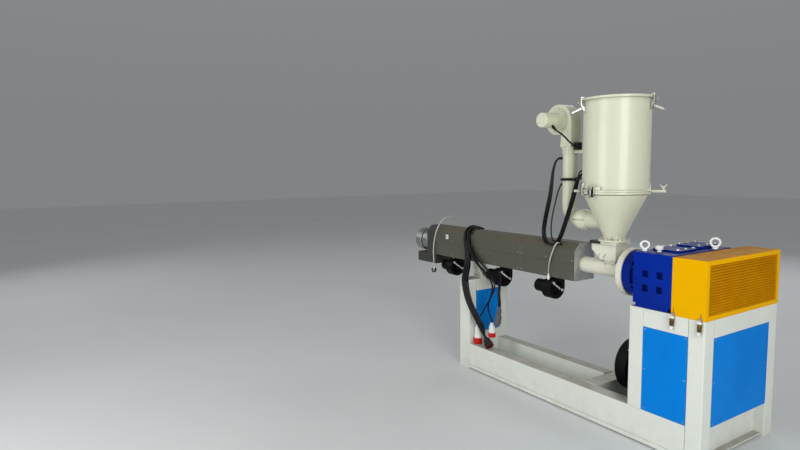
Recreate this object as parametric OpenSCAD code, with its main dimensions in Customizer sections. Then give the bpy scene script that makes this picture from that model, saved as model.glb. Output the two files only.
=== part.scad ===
// Single-screw plastic extruder with a hopper dryer, standing on a welded floor frame.
// +X runs along the barrel from the die end to the drive end, -Y is the near side, +Z is up.
// The origin is on the floor, under the barrel axis, at the middle of the pedestal.

/* [Machine] */
// Distance from the pedestal's middle to the drive end
drive_l = 2045; // [1950:5:2200]
// Distance from the barrel axis to the machine's near side
near_d = 212; // [205:1:225]
// Width of the drive end
frame_w = 800; // [760:5:860]
// Gap between pieces that sit beside each other
seam = 0.5; // [0.2:0.1:0.8]

/* [Floor frame] */
// Width over the two beams under the barrel
spine_w = 424; // [400:2:440]
// Width of a floor beam
beam_w = 100; // [80:5:110]
// Height of a floor beam's top
beam_top = 215; // [190:5:230]
// Gap under a floor beam
floor_gap = 12; // [5:1:20]
// Corner radius of a floor beam
beam_r = 6; // [3:1:10]
// Height of the lip along a floor beam's foot
lip_h = 26; // [15:1:40]
// Reach of the lip past the beam's face
lip_out = 5; // [2:1:8]
// Length of the wide part of the frame, past the cabinet
wide_l = 421; // [380:5:460]
// Width of the cross beam at the end of the wide part
cross_w = 121; // [100:1:140]
// Reach of the end block past the far beam
block_out = 8; // [4:1:12]

/* [Drive cabinet] */
// Length of the cabinet along the barrel axis
cab_l = 467; // [440:1:500]
// Height of the cabinet's top
cab_h = 830; // [800:5:850]
// Height of the barrel axis above the cabinet's top
axis_up = 170; // [160:1:180]
// Width of a cabinet post
post_w = 95; // [70:1:105]
// Height of a top rail
rail_h = 103; // [80:1:120]
// Depth of a top rail
rail_d = 45; // [30:1:60]
// Sheet thickness of a blue panel
panel_t = 3; // [2:0.5:5]
// Distance at which the foot channel stands back from the drive end
channel_back = 18; // [10:1:30]
// Thickness of the plate under the gearbox
seat_t = 6; // [4:1:12]

/* [Main motor] */
// Radius of the motor's cooling fins
motor_r = 155; // [140:1:160]
// Radius of the motor's fan cowl
cowl_r = 177; // [165:1:182]
// Length of the finned frame
motor_l = 400; // [360:5:430]
// Length of the fan cowl
cowl_l = 96; // [80:1:120]
// Reach of the cowl past the open side of the cabinet
motor_out = 253; // [230:1:270]
// Distance of the motor's axis from the near side
motor_d = 372; // [350:2:400]
// Height of the motor's axis above its bed plate
shaft_h = 190; // [185:1:200]
// Height of the bed plate's top
bed_h = 150; // [120:5:160]
// Number of cooling fins
fins = 36; // [24:4:44]
// Depth of a cooling fin
fin_d = 20; // [12:1:24]

/* [Belt guard] */
// Length of the guard along the barrel axis
guard_l = 200; // [180:1:215]
// Height of the guard
guard_h = 333; // [320:1:345]
// Sheet thickness of the guard
guard_t = 3; // [2:0.5:4]
// Width of the plain border round the louvres
border = 27; // [20:1:40]
// Number of louvres
louvres = 18; // [10:1:20]
// Slope of a louvre
louvre_slope = 42; // [35:1:50]
// Sheet thickness of a louvre
louvre_t = 1.5; // [1:0.5:2.5]

/* [Gearbox] */
// Length of the gearbox along the barrel axis
gear_l = 247; // [230:1:260]
// Width of the gearbox
gear_w = 620; // [580:5:680]
// Height of the gearbox
gear_h = 332; // [320:1:345]
// Length of the output boss
boss_l = 132; // [110:1:150]
// Radius of the output boss
boss_r = 146; // [130:1:150]
// Side of a small pocket
pocket = 40; // [25:1:50]
// Depth of a pocket in the casting
pocket_d = 26; // [15:1:35]
// Radius of the white flange
ring_r = 155; // [148:1:162]
// Thickness of the white flange
ring_t = 50; // [30:1:60]

/* [Feed section] */
// Outer radius of the feed throat
throat_r = 55; // [48:1:60]
// Length of the feed throat
throat_l = 357; // [330:1:390]
// Distance from the flange's face to the dryer's axis
hopper_back = 118; // [110:1:130]
// Height of the hopper base above the barrel axis
base_h = 165; // [150:1:180]
// Width of the hopper base
base_w = 116; // [104:1:124]
// Reach of the drain side of the hopper base
drain_out = 132; // [110:1:150]
// Radius of the feed hole
feed_r = 40; // [34:1:44]
// Thickness of the slide gate
gate_t = 20; // [12:1:24]

/* [Hopper dryer] */
// Outer radius of the dryer shell
dryer_r = 209; // [196:1:220]
// Height of the shell
shell_h = 580; // [520:5:640]
// Height of the cone
cone_h = 281; // [260:1:300]
// Height of the joint band between cone and shell
band_h = 24; // [16:1:30]
// Outer radius of the outlet neck
neck_r = 72; // [68:1:78]
// Height of the outlet neck
neck_h = 26; // [20:1:36]
// Radius of the outlet flange
outlet_r = 100; // [94:1:108]
// Thickness of the outlet flange
outlet_t = 12; // [8:1:16]
// Sheet thickness of the dryer
dryer_t = 3; // [2:0.5:4]
// Reach of the lid past the shell
lid_out = 20; // [12:1:24]
// Thickness of the lid
lid_t = 14; // [10:1:20]
// Length of a clamp arm
arm_l = 84; // [60:1:96]

/* [Blower and air line] */
// Distance of the heater tube from the dryer's axis
air_d = 380; // [365:1:400]
// Radius of the heater tube
heater_r = 50; // [44:1:54]
// Height of the heater tube's foot above the cone's foot
heater_foot = 190; // [180:1:205]
// Radius of the blower's scroll at its mouth
scroll_r = 122; // [114:1:130]
// Width of the blower's scroll
scroll_w = 100; // [90:1:110]
// Distance of the scroll's axis from the heater tube
scroll_d = 75; // [68:1:80]
// Length of the blower's motor
blower_l = 150; // [130:5:165]
// Radius of the blower's motor
blower_r = 52; // [44:1:58]
// Radius of the round elbow housing
ball_r = 73; // [66:1:78]
// Distance of the elbow housing from the heater tube
ball_d = 125; // [118:1:135]
// Radius of the pipe into the cone
pipe_r = 56; // [48:1:60]

/* [Barrel] */
// Outer radius of the barrel
barrel_r = 52; // [46:1:54]
// Half the width of a barrel cover
cover_w = 102; // [96:1:108]
// Height of a cover above the barrel axis
cover_up = 150; // [140:1:158]
// Depth of a cover below the barrel axis
cover_down = 114; // [106:1:120]
// Size of the slope along a cover's top edge
slope = 50; // [40:1:58]
// Length of the first cover, counted from the feed throat
first_l = 527; // [500:1:545]
// Length of the last cover
last_l = 487; // [460:1:520]
// Distance from the pedestal's middle to the joint of the last two covers
joint_back = 50; // [46:1:54]
// Gap between the last two covers, where the barrel's bracket stands
bracket_gap = 18; // [14:1:24]
// Length of the dark casing at the die end
casing_l = 135; // [115:5:150]
// Depth of the dark casing below the barrel axis
casing_down = 200; // [180:5:210]
// Radius of the two die flanges
flange_r = 106; // [102:1:110]
// Thickness of a die flange
flange_t = 86; // [70:1:96]
// Gap between the two flanges
flange_gap = 20; // [14:1:26]
// Radius of the circle of bolt holes
bolt_circle = 85; // [84:0.5:88]
// Number of bolt holes
bolts = 8; // [6:2:10]
// Radius of a bolt hole
bolt_r = 9; // [6:0.5:9]

/* [Cooling fans] */
// Depth of a fan's axis below the barrel axis
fan_drop = 215; // [208:1:225]
// Radius of a fan's scroll at its mouth
fan_r = 88; // [80:1:90]
// Width of a fan's scroll
fan_w = 82; // [70:1:84]
// Radius of a fan's motor
fan_motor_r = 48; // [40:1:50]
// Length of a fan's motor
fan_motor_l = 104; // [90:1:106]
// Shift of a fan from the middle of its zone towards the die
fan_shift = 76; // [70:1:80]
// Gap between the pedestal and the motor of the second cooling fan
fan_gap = 8.25; // [5:0.25:20]

/* [Pedestal] */
// Length of the pedestal along the barrel axis
ped_l = 127; // [120:1:130]
// Height of the pedestal
ped_h = 754; // [740:2:760]
// Width of the near post
near_post = 75; // [60:1:90]
// Width of the far post
far_post = 95; // [80:1:110]
// Height of the blue panel's lower edge
panel_low = 300; // [260:5:320]
// Height of the blue panel's upper edge
panel_high = 655; // [640:5:680]

/* [Hidden] */
$fn = 64;

axis_h = cab_h + axis_up;
near_y = -near_d;
far_y = frame_w - near_d;
spine_y = spine_w - near_d;
cab_x = drive_l - cab_l;
wide_x = cab_x - wide_l;
guard_x = drive_l - guard_l;
gear_x = guard_x - seam - gear_l;
gear_z = cab_h + seat_t;
gear_far = near_y + gear_w;
ring_x = gear_x - boss_l - ring_t;
throat_x = ring_x - throat_l;
hopper_x = ring_x - hopper_back;
gate_z = axis_h + base_h;
outlet_z = gate_z + gate_t;
neck_z = outlet_z + outlet_t;
cone_z = neck_z + neck_h;
band_z = cone_z + cone_h;
shell_z = band_z + band_h;
lid_z = shell_z + shell_h;
motor_y = near_y + motor_d;
motor_z = bed_h + shaft_h;
cowl_x = cab_x - motor_out;
beam_h = beam_top - floor_gap;
ped_x = ped_l / 2;
joint_x = -joint_back;
last_x = joint_x - bracket_gap - last_l;
casing_x = last_x - casing_l;
die_x = casing_x - 2 * flange_t - flange_gap;
air_x = hopper_x - air_d;
ball_x = air_x + ball_d;
heater_z = cone_z + heater_foot;
ball_z = heater_z - ball_d + 25;
blower_z = lid_z - scroll_r + 18;
blower_x = air_x - scroll_d;
mouth_z = blower_z - 1.62 * scroll_r;

// Points of a quarter circle about (cx, cy), from angle a
function arc(cx, cy, r, a, n = 4) = [for (i = [0:n]) [cx + r * cos(a + 90 * i / n), cy + r * sin(a + 90 * i / n)]];

// Outline of a rectangle w by h with rounded corners, its corner at the origin
function rounded(w, h, r) = concat(arc(w - r, h - r, r, 0), arc(r, h - r, r, 90), arc(r, r, r, 180),
                                   arc(w - r, r, r, 270));

// Outline of a scroll that opens downwards at its +x side, between x = side - mouth and x = side
function scroll(r0, side, mouth, drop, n = 30) = concat(
    [for (i = [0:n]) let (a = 290 * i / n, r = side + (r0 - side) * i / n) [r * cos(a), r * sin(a)]],
    [[side - mouth, -drop], [side, -drop]]);

// Catmull-Rom point between b and c
function curve_point(a, b, c, d, t) = 0.5 * (2 * b + (c - a) * t + (2 * a - 5 * b + 4 * c - d) * t * t
                                             + (3 * b - a - 3 * c + d) * t * t * t);

// Smooth path through the points p, with one more point between each two of them
function smooth(p) = let (m = len(p) - 1) concat(
    [for (i = [0:m - 1], j = [0:1])
        curve_point(p[max(i - 1, 0)], p[i], p[i + 1], p[min(i + 2, m)], j / 2)],
    [p[m]]);

function unit(v) = v / norm(v);

// Box with its low corner at p and size s
module block(p, s) {
    translate(p) cube(s);
}

// Beam along X from x0, its low corner at y, z
module beam_x(x0, l, y, z, w, h) {
    translate([x0, y, z]) rotate([90, 0, 90]) linear_extrude(l) polygon(rounded(w, h, beam_r));
}

// Beam along Y from y0, its low corner at x, z
module beam_y(y0, l, x, z, w, h) {
    translate([x, y0 + l, z]) rotate([90, 0, 0]) linear_extrude(l) polygon(rounded(w, h, beam_r));
}

// Cylinder along X from x0, its axis at y, z
module rod_x(x0, l, y, z, r) {
    translate([x0, y, z]) rotate([0, 90, 0]) cylinder(r = r, h = l);
}

// Revolves an outline about the axis along X through x0, y, z; the outline's y runs along +X
module turned_x(x0, y, z) {
    translate([x0, y, z]) rotate([0, 90, 0]) rotate_extrude() children();
}

// Cable of radius r along a smooth path through the points p, its sides squared to the direction ref
module cable(p, r, ref, sides = 8) {
    path = smooth(p);
    m = len(path) - 1;
    rings = [for (i = [0:m])
        let (t = unit(path[min(i + 1, m)] - path[max(i - 1, 0)]), u = unit(cross(t, ref)), w = cross(t, u))
        for (j = [0:sides - 1]) let (a = 360 * j / sides) path[i] + r * (cos(a) * u + sin(a) * w)];
    walls = [for (i = [0:m - 1], j = [0:sides - 1])
        let (a = i * sides + j, b = i * sides + (j + 1) % sides)
        for (face = [[a, b, b + sides], [a, b + sides, a + sides]]) face];
    caps = [[for (j = [sides - 1:-1:0]) j], [for (j = [0:sides - 1]) m * sides + j]];
    polyhedron(rings, concat(walls, caps));
}

module near_floor_beam() {
    x0 = ped_x + seam;
    l = drive_l - post_w - seam - x0;
    color("whitesmoke") {
        beam_x(x0, l, near_y, floor_gap, beam_w, beam_h);
        block([x0, near_y - lip_out, floor_gap], [l, lip_out + beam_r, lip_h]);
    }
}

module spine_beam() {
    x0 = ped_x + seam;
    color("whitesmoke") {
        beam_x(x0, wide_x - seam - x0, spine_y - beam_w, floor_gap, beam_w, beam_h);
        block([x0, spine_y - beam_w, beam_top - lip_out], [wide_x - seam - x0, beam_r, 2 * lip_out]);
    }
}

module far_floor_beam() {
    color("whitesmoke") {
        beam_x(wide_x, drive_l - post_w - seam - wide_x, far_y - beam_w, floor_gap, beam_w, beam_h);
        block([wide_x - block_out, far_y - beam_w - block_out, floor_gap / 2],
              [2 * block_out, beam_w + 2 * block_out, beam_top - floor_gap / 2 + block_out]);
    }
}

module wide_cross_beam() {
    y0 = near_y + beam_w + seam;
    color("whitesmoke") beam_y(y0, far_y - beam_w - block_out - seam - y0, wide_x + block_out + seam, floor_gap,
                               cross_w - block_out, beam_h);
}

// Folded channel between the posts of the drive end, its flanges turned outwards
module drive_end_channel() {
    wall = 8;
    d = 50;
    x = drive_l - channel_back - d;
    y0 = near_y + post_w + seam;
    color("whitesmoke") translate([x, y0, floor_gap]) rotate([0, 0, 90]) rotate([90, 0, 90])
        linear_extrude(frame_w - 2 * post_w - 2 * seam) mirror([1, 0])
            polygon([[0, 0], [d, 0], [d, wall], [wall, wall], [wall, beam_h - wall], [d, beam_h - wall], [d, beam_h],
                     [0, beam_h]]);
}

// Cabinet post with its low corner at x, y and its foot at z
module post(x, y, z) {
    translate([x, y, z]) linear_extrude(cab_h - z) polygon(rounded(post_w, post_w, beam_r));
}

module cabinet_posts() {
    color("whitesmoke") {
        for (y = [near_y, far_y - post_w]) {
            post(drive_l - post_w, y, 0);
            post(cab_x, y, beam_top);
        }
    }
}

module cabinet_rails() {
    long = cab_l - 2 * post_w - 2 * seam;
    wide = frame_w - 2 * post_w - 2 * seam;
    z = cab_h - rail_h;
    color("whitesmoke") {
        for (y = [near_y, far_y - rail_d]) block([cab_x + post_w + seam, y, z], [long, rail_d, rail_h]);
        for (x = [cab_x, drive_l - rail_d]) block([x, near_y + post_w + seam, z], [rail_d, wide, rail_h]);
    }
}

module gearbox_seat() {
    color("whitesmoke") block([cab_x, near_y, cab_h], [guard_x - seam - cab_x, gear_w + rail_d, seat_t]);
}

// Panel w by h in the XZ plane, its outer face at y towards -Y
module plate_xz(x, y, z, w, h, t, r = 2) {
    translate([x, y + t, z]) rotate([90, 0, 0]) linear_extrude(t) polygon(rounded(w, h, r));
}

// Panel w by h in the YZ plane, its outer face at x + t towards +X
module plate_yz(x, y, z, w, h, t, r = 2) {
    translate([x, y, z]) rotate([90, 0, 90]) linear_extrude(t) polygon(rounded(w, h, r));
}

module cabinet_panels() {
    z = beam_top + seam;
    h = cab_h - rail_h - beam_top - 2 * seam;
    color("dodgerblue") {
        for (y = [near_y, far_y - panel_t])
            plate_xz(cab_x + post_w + seam, y, z, cab_l - 2 * post_w - 2 * seam, h, panel_t);
        plate_yz(drive_l - panel_t, near_y + post_w + seam, z, frame_w - 2 * post_w - 2 * seam, h, panel_t);
    }
}

module main_motor() {
    core_r = motor_r - fin_d;
    x0 = cowl_x + cowl_l + seam;
    foot_l = 110;
    box_l = 150;
    box_w = 120;
    shield_l = 22;
    color("black") difference() {
        union() {
            translate([x0, motor_y, motor_z]) rotate([90, 0, 90]) linear_extrude(motor_l) {
                circle(r = core_r);
                for (i = [0:fins - 1]) rotate(360 * i / fins) translate([core_r - 4, -2]) square([fin_d + 4, 4]);
            }
            rod_x(x0 + motor_l, shield_l, motor_y, motor_z, motor_r);
            rod_x(x0 + motor_l + shield_l, 90, motor_y, motor_z, 24);
            for (side = [-1, 1], x = [cab_x + 20, x0 + motor_l - foot_l])
                block([x, motor_y + side * 130 - 40, bed_h], [foot_l, 80, 70]);
            block([x0 + 130, motor_y - box_w / 2, motor_z + core_r - 30], [box_l, box_w, fin_d + 80]);
        }
        block([x0 + 130 + 20, motor_y - box_w / 2 - 1, motor_z + motor_r + 36], [box_l - 40, box_w + 2, 2]);
    }
}

// Rounded fan cowl with a grille of ring slots in its end
module motor_cowl() {
    edge = 26;
    slot_d = 7;
    color("black") difference() {
        turned_x(cowl_x, motor_y, motor_z)
            polygon(concat([[0, 0]], arc(cowl_r - edge, edge, edge, 270, 6), [[cowl_r, cowl_l], [0, cowl_l]]));
        for (r = [50:16:cowl_r - edge - 8])
            turned_x(cowl_x - 1, motor_y, motor_z) translate([r, 0]) square([slot_d, slot_d]);
    }
}

// Bed plate between the floor beams, with two slide rails that carry the motor's feet
module motor_bed() {
    bed_t = 14;
    y0 = near_y + beam_w + seam;
    color("whitesmoke") {
        block([cab_x, y0, bed_h - bed_t], [cab_l - post_w - seam, frame_w - 2 * beam_w - 2 * seam, bed_t]);
        for (side = [-1, 1]) block([cab_x, motor_y + side * 130 - 20, bed_h - 60], [cab_l - post_w - seam, 40, 50]);
    }
}

// Guard over the belts: folded sheet with a louvred end, open towards the cabinet and the gearbox
module belt_guard() {
    pitch = (guard_h - 2 * border) / louvres;
    blade = 1.12 * pitch / sin(louvre_slope);
    frame_d = blade * cos(louvre_slope) + guard_t;
    back = 24;
    color("gold") {
        difference() {
            block([guard_x, near_y, cab_h], [guard_l, frame_w, guard_h]);
            block([guard_x + guard_t, near_y + guard_t, cab_h - 1],
                  [guard_l - guard_t - frame_d, frame_w - 2 * guard_t, guard_h - guard_t + 1]);
            block([guard_x - 1, near_y + back, cab_h + back], [guard_t + 2, gear_w - 2 * back, guard_h - 2 * back]);
            block([drive_l - frame_d - 1, near_y + border, cab_h + border],
                  [frame_d + 2, frame_w - 2 * border, guard_h - 2 * border]);
        }
        for (i = [0:louvres - 1])
            translate([drive_l - guard_t / 2, near_y + border - guard_t, cab_h + border + (i + 0.06) * pitch])
                rotate([0, louvre_slope - 90, 0])
                    cube([louvre_t, frame_w - 2 * border + 2 * guard_t, blade]);
    }
}

// Toggle latch that holds the guard down, on the side that faces away from the machine's middle
module latch(x, side) {
    latch_h = 92;
    latch_w = 24;
    t = 7;
    y = side < 0 ? near_y : far_y;
    color("silver") translate([x, y, cab_h - latch_h + 18]) rotate([90, 0, side < 0 ? 0 : 180])
        linear_extrude(t) difference() {
            polygon([[-latch_w / 4, 0], [latch_w / 4, 0], [latch_w / 2, latch_h * 0.6], [latch_w / 3, latch_h],
                     [-latch_w / 3, latch_h], [-latch_w / 2, latch_h * 0.6]]);
            translate([0, latch_h * 0.8]) circle(r = latch_w / 8);
        }
}

module guard_latches() {
    for (x = [guard_x + 14, drive_l - 26], side = [-1, 1]) latch(x, side);
}

// Ring of ribs between the gearbox and its output face
module output_boss() {
    neck = boss_r - 14;
    collar = boss_l * 0.45;
    rod_x(ring_x + ring_t + seam, collar - seam, 0, axis_h, boss_r);
    rod_x(ring_x + ring_t + collar, boss_l - collar, 0, axis_h, neck);
    for (i = [0:7]) translate([ring_x + ring_t + collar, 0, axis_h]) rotate([45 * i + 22.5, 0, 0])
        translate([0, -8, 0]) cube([boss_l - collar, 16, boss_r - 2]);
}

module gearbox_housing() {
    mid_x = gear_x + gear_l / 2;
    big_w = gear_l * 0.36;
    big_h = gear_h * 0.36;
    rib = 10;
    plug_r = 16;
    color("mediumblue") {
        difference() {
            translate([gear_x, near_y, gear_z]) rotate([90, 0, 90]) linear_extrude(gear_l)
                polygon(rounded(gear_w, gear_h, beam_r));
            for (sx = [-1, 1], sz = [0, 1])
                block([mid_x + sx * 46 - pocket / 2, near_y - 1, axis_h - 62 + sz * 85], [pocket, pocket_d + 1, pocket]);
            for (sx = [-1, 1], sz = [-1, 1])
                block([mid_x + sx * (big_w / 2 + rib) - big_w / 2, gear_far - pocket_d / 2,
                       gear_z + gear_h * 0.56 + sz * (big_h / 2 + rib) - big_h / 2], [big_w, pocket_d, big_h]);
            for (x = [gear_x - 1, gear_x + gear_l - 19]) block([x, near_y - 1, gear_z - 1], [20, 30, 26]);
        }
        for (sx = [-1, 1]) translate([mid_x + sx * 60, gear_far - 1, gear_z + 34]) rotate([-90, 0, 0])
            cylinder(r = plug_r, h = 8);
        output_boss();
    }
}

// Raised covers bolted to the gearbox's top
module gearbox_covers() {
    z = gear_z + gear_h;
    color("royalblue") {
        translate([gear_x + 30, near_y + 130, z]) linear_extrude(12) polygon(rounded(gear_l - 70, 190, 16));
        translate([gear_x + 34, near_y + 370, z]) linear_extrude(18) polygon(rounded(gear_l - 88, 210, 16));
    }
}

// Eye bolt whose ring has the outer radius r
module lifting_eye(x, y, r) {
    wire = 0.2 * r;
    translate([x, y, gear_z + gear_h]) {
        cylinder(r = 0.55 * r, h = 8);
        translate([0, 0, 5 + r]) rotate([90, 0, 35]) rotate_extrude() translate([r - wire, 0]) circle(r = wire);
    }
}

module lifting_eyes() {
    color("gainsboro") {
        lifting_eye(gear_x + 22, near_y + 74, 30);
        lifting_eye(gear_x + gear_l - 20.5, near_y + 475, 34);
    }
}

module breather() {
    color("white") translate([gear_x + 105, near_y + 92, gear_z + gear_h]) rotate_extrude()
        polygon(concat([[0, 0], [12, 0], [12, 12], [22, 16]], arc(14, 30, 8, 0), [[0, 38]]));
}

module white_flange() {
    hub = 18;
    color("ivory") turned_x(ring_x, 0, axis_h) difference() {
        polygon([[throat_r + seam, 0], [throat_r + hub, 0], [throat_r + hub + 8, 8], [ring_r - 3, 8],
                 [ring_r, 11], [ring_r, ring_t - 3], [ring_r - 3, ring_t], [throat_r + seam, ring_t]]);
    }
}

module feed_throat() {
    pad = 0.7 * base_w;
    color("ivory") difference() {
        union() {
            rod_x(throat_x + panel_t + seam, throat_l + ring_t - panel_t - 2 * seam, 0, axis_h, throat_r);
            block([hopper_x - pad / 2, -pad / 2, axis_h], [pad, pad, throat_r + 4]);
        }
        translate([hopper_x, 0, axis_h]) cylinder(r = feed_r, h = throat_r + 5);
    }
}

// Casting under the dryer: a square seat with a sloping drain side and two long slots
module hopper_base() {
    z0 = throat_r + 4;
    half = base_w / 2;
    color("ivory") difference() {
        translate([hopper_x, half, axis_h]) rotate([90, 0, 0]) linear_extrude(base_w)
            polygon([[half, z0], [half, base_h], [-drain_out, base_h], [-drain_out, base_h * 0.75],
                     [-half - 12, z0 + 12], [-half, z0]]);
        translate([hopper_x, 0, axis_h]) cylinder(r = feed_r, h = base_h + 1);
        for (shift = [0, 44]) translate([hopper_x - half - 14 + shift, -half - 1, axis_h + z0 + 26])
            rotate([0, 35, 0]) block([-5, 0, -20], [10, 5, 40]);
    }
}

// Black slide under the dryer's outlet, pulled out towards the die
module slide_gate() {
    grip = 34;
    color("black") difference() {
        union() {
            block([hopper_x - drain_out, -neck_r, gate_z], [drain_out + neck_r, 2 * neck_r, gate_t]);
            block([hopper_x - drain_out - 6, -neck_r, gate_z - 6], [grip, 2 * neck_r, gate_t + 6]);
        }
        translate([hopper_x, 0, gate_z - 1]) cylinder(r = feed_r, h = gate_t + 2);
        block([hopper_x - drain_out, -neck_r - 1, gate_z - 7], [grip, 2 * neck_r + 2, 7]);
    }
}

module outlet_spool() {
    color("ivory") translate([hopper_x, 0, outlet_z]) rotate_extrude()
        polygon([[neck_r - dryer_t, 0], [outlet_r, 0], [outlet_r, outlet_t], [neck_r + 3, outlet_t],
                 [neck_r, outlet_t + 3], [neck_r, outlet_t + neck_h], [neck_r - dryer_t, outlet_t + neck_h]]);
}

module dryer_cone() {
    foot = neck_r + 2;
    lip = dryer_r + 7;
    color("ivory") translate([hopper_x, 0, cone_z]) rotate_extrude()
        polygon([[neck_r - dryer_t, 0], [foot, 0], [foot, 6], [dryer_r - 5, cone_h - 4], [lip, cone_h - 4],
                 [lip, cone_h + band_h / 2 - seam], [dryer_r - dryer_t, cone_h + band_h / 2 - seam],
                 [dryer_r - dryer_t, cone_h], [foot - dryer_t, 8]]);
}

module dryer_shell() {
    low = -band_h / 2;
    lip = dryer_r + 9;
    color("ivory") translate([hopper_x, 0, shell_z]) rotate_extrude()
        polygon([[dryer_r - dryer_t, low], [lip, low], [lip, -2], [dryer_r, 2], [dryer_r, shell_h - 8],
                 [dryer_r + 4, shell_h - 4], [dryer_r + 4, shell_h], [dryer_r - dryer_t, shell_h]]);
}

module dryer_lid() {
    edge = dryer_r + lid_out;
    color("ivory") translate([hopper_x, 0, lid_z]) rotate_extrude()
        polygon([[0, 0], [edge - 3, 0], [edge - 3, -6], [edge, -6], [edge, 6], [edge - 3, 9], [dryer_r - 20, lid_t - 3],
                 [0, lid_t]]);
}

// Clamp arm on the joint band, at angle a round the dryer, with a wing nut when wing is true
module clamp_arm(a, l, wing) {
    arm_h = 15;
    lip = dryer_r + 9;
    translate([hopper_x, 0, shell_z - band_h / 2]) rotate([0, 0, a]) {
        difference() {
            block([lip + seam - 2, -12, -arm_h / 2], [l + 2, 24, arm_h]);
            translate([0, 0, -arm_h]) cylinder(r = lip + seam, h = 2 * arm_h);
        }
        if (wing) {
            translate([lip + l - 14, 0, arm_h / 2 - 1]) cylinder(r = 9, h = 22);
            translate([lip + l - 14, 6, arm_h / 2 + 22]) rotate([90, 0, 0]) linear_extrude(12)
                polygon([[-24, 12], [-20, 14], [-6, 2], [6, 2], [20, 14], [24, 12], [8, -6], [-8, -6]]);
        }
    }
}

// Piece w wide on the dryer's side at angle a, its outline in the plane through the axis, from (shell face, z)
module dryer_fitting(a, z, w) {
    translate([hopper_x, 0, z]) rotate([0, 0, a]) translate([dryer_r, w / 2, 0]) rotate([90, 0, 0]) linear_extrude(w)
        children();
}

// Toggle over the lid's edge, with its lever swung out
module lid_latch(a) {
    dryer_fitting(a, lid_z, 20)
        polygon([[seam, -76], [10, -76], [30, -34], [30, 18], [8, 18], [8, 10.6], [20.8, 10.6], [20.8, -30],
                 [12, -44], [seam, -44]]);
    dryer_fitting(a, lid_z, 8) polygon([[18, -60], [24, -48], [92, -83], [88, -91]]);
    translate([hopper_x, 0, lid_z]) rotate([0, 0, a]) translate([dryer_r + 90, 0, -87]) sphere(r = 8, $fn = 32);
}

// Toggle over the joint band
module band_latch(a) {
    dryer_fitting(a, shell_z, 34) polygon([[seam, 44], [12, 44], [20, 30], [20, -38], [2, -38], [2, -29.5], [9.8, -29.5],
                                           [9.8, 8], [seam, 14]]);
}

// Lug on the joint band
module band_lug(a) {
    dryer_fitting(a, shell_z, 44) polygon([[0.8, 34], [12, 34], [16, 28], [16, -26], [9.8, -26], [9.8, 6], [0.8, 12]]);
}

module clamp_arms() {
    color("ivory") {
        clamp_arm(37, arm_l, true);
        clamp_arm(217, arm_l / 2, false);
        clamp_arm(127, arm_l / 2, false);
        band_lug(266);
        band_lug(84);
    }
}

module dryer_latches() {
    color("silver") {
        lid_latch(14);
        lid_latch(236);
        band_latch(238);
        band_latch(58);
    }
}

// Spiral blower whose mouth opens down into the heater tube
module blower_scroll() {
    step_r = 0.62 * scroll_r;
    ear = 0.5 * scroll_r;
    color("ivory") {
        translate([blower_x, scroll_w / 2, blower_z]) rotate([90, 0, 0]) linear_extrude(scroll_w)
            polygon(scroll(0.8 * scroll_r, scroll_r, 2 * heater_r - 6, blower_z - mouth_z - 10));
        translate([blower_x, -scroll_w / 2 + 1, blower_z]) rotate([90, 0, 0]) {
            cylinder(r = step_r + 12, h = 9);
            cylinder(r = step_r, h = 17);
        }
        translate([blower_x, scroll_w / 2 - 1, blower_z]) rotate([-90, 0, 0]) difference() {
            cylinder(r = ear + 6, h = 14);
            translate([0, 0, 5]) cylinder(r = ear, h = 10);
        }
        translate([air_x, 0, mouth_z]) cylinder(r = heater_r - 5, h = 40);
        translate([air_x, 0, mouth_z]) cylinder(r = heater_r + 8, h = 9);
    }
}

module blower_motor() {
    cap = 8;
    color("ivory") translate([blower_x, -scroll_w / 2 - 16, blower_z]) rotate([90, 0, 0]) rotate_extrude()
        polygon(concat([[0, 0], [blower_r + 5, 0], [blower_r + 5, 8], [blower_r, 12]],
                       arc(blower_r - cap, blower_l - cap, cap, 0), [[0, blower_l]]));
}

module heater_tube() {
    color("ivory") translate([air_x, 0, heater_z]) rotate_extrude()
        polygon([[0, 0], [heater_r, 0], [heater_r, mouth_z - heater_z - 10 - seam],
                 [heater_r + 8, mouth_z - heater_z - 9 - seam], [heater_r + 8, mouth_z - heater_z - seam],
                 [0, mouth_z - heater_z - seam]]);
}

// Strap from the blower's flange to the dryer shell
module tube_bracket() {
    z = mouth_z - 34;
    color("ivory") difference() {
        union() {
            translate([air_x, 0, z]) cylinder(r = heater_r + 4, h = 22);
            block([air_x, -15, z], [air_d - dryer_r + 10, 30, 22]);
        }
        translate([air_x, 0, z - 1]) cylinder(r = heater_r + seam, h = 32);
        translate([hopper_x, 0, z - 1]) cylinder(r = dryer_r + seam, h = 32);
    }
}

// Bent pipe with a round housing, from the heater tube into the cone
module air_elbow() {
    bend_r = heater_z - ball_z;
    rise = (dryer_r - 5 - neck_r - 2) / (cone_h - 10);
    color("ivory") difference() {
        union() {
            translate([air_x + bend_r, 0, heater_z - seam]) rotate([90, 0, 0]) rotate([0, 0, 180])
                rotate_extrude(angle = 90) translate([bend_r, 0]) circle(r = heater_r);
            translate([ball_x, 0, ball_z]) sphere(r = ball_r);
            translate([ball_x, 0, ball_z]) rotate([0, 90, 0]) cylinder(r = pipe_r, h = air_d - ball_d);
        }
        translate([ball_x, 0, ball_z - 1]) rotate_extrude() translate([ball_r - 1.5, 0]) square([6, 2.5]);
        translate([hopper_x, 0, cone_z + 6]) cylinder(r1 = neck_r + 2 + seam, r2 = neck_r + 2 + seam + rise * (cone_h - 10),
                                                       h = cone_h - 10);
    }
}

// Outline of a barrel cover about the barrel axis, reaching down by low
function cover_outline(low, r = 6) = concat(
    arc(cover_w - r, -low + r, r, 270), [[cover_w, cover_up - slope], [cover_w - slope, cover_up],
    [slope - cover_w, cover_up], [-cover_w, cover_up - slope]], arc(r - cover_w, -low + r, r, 180));

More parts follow.
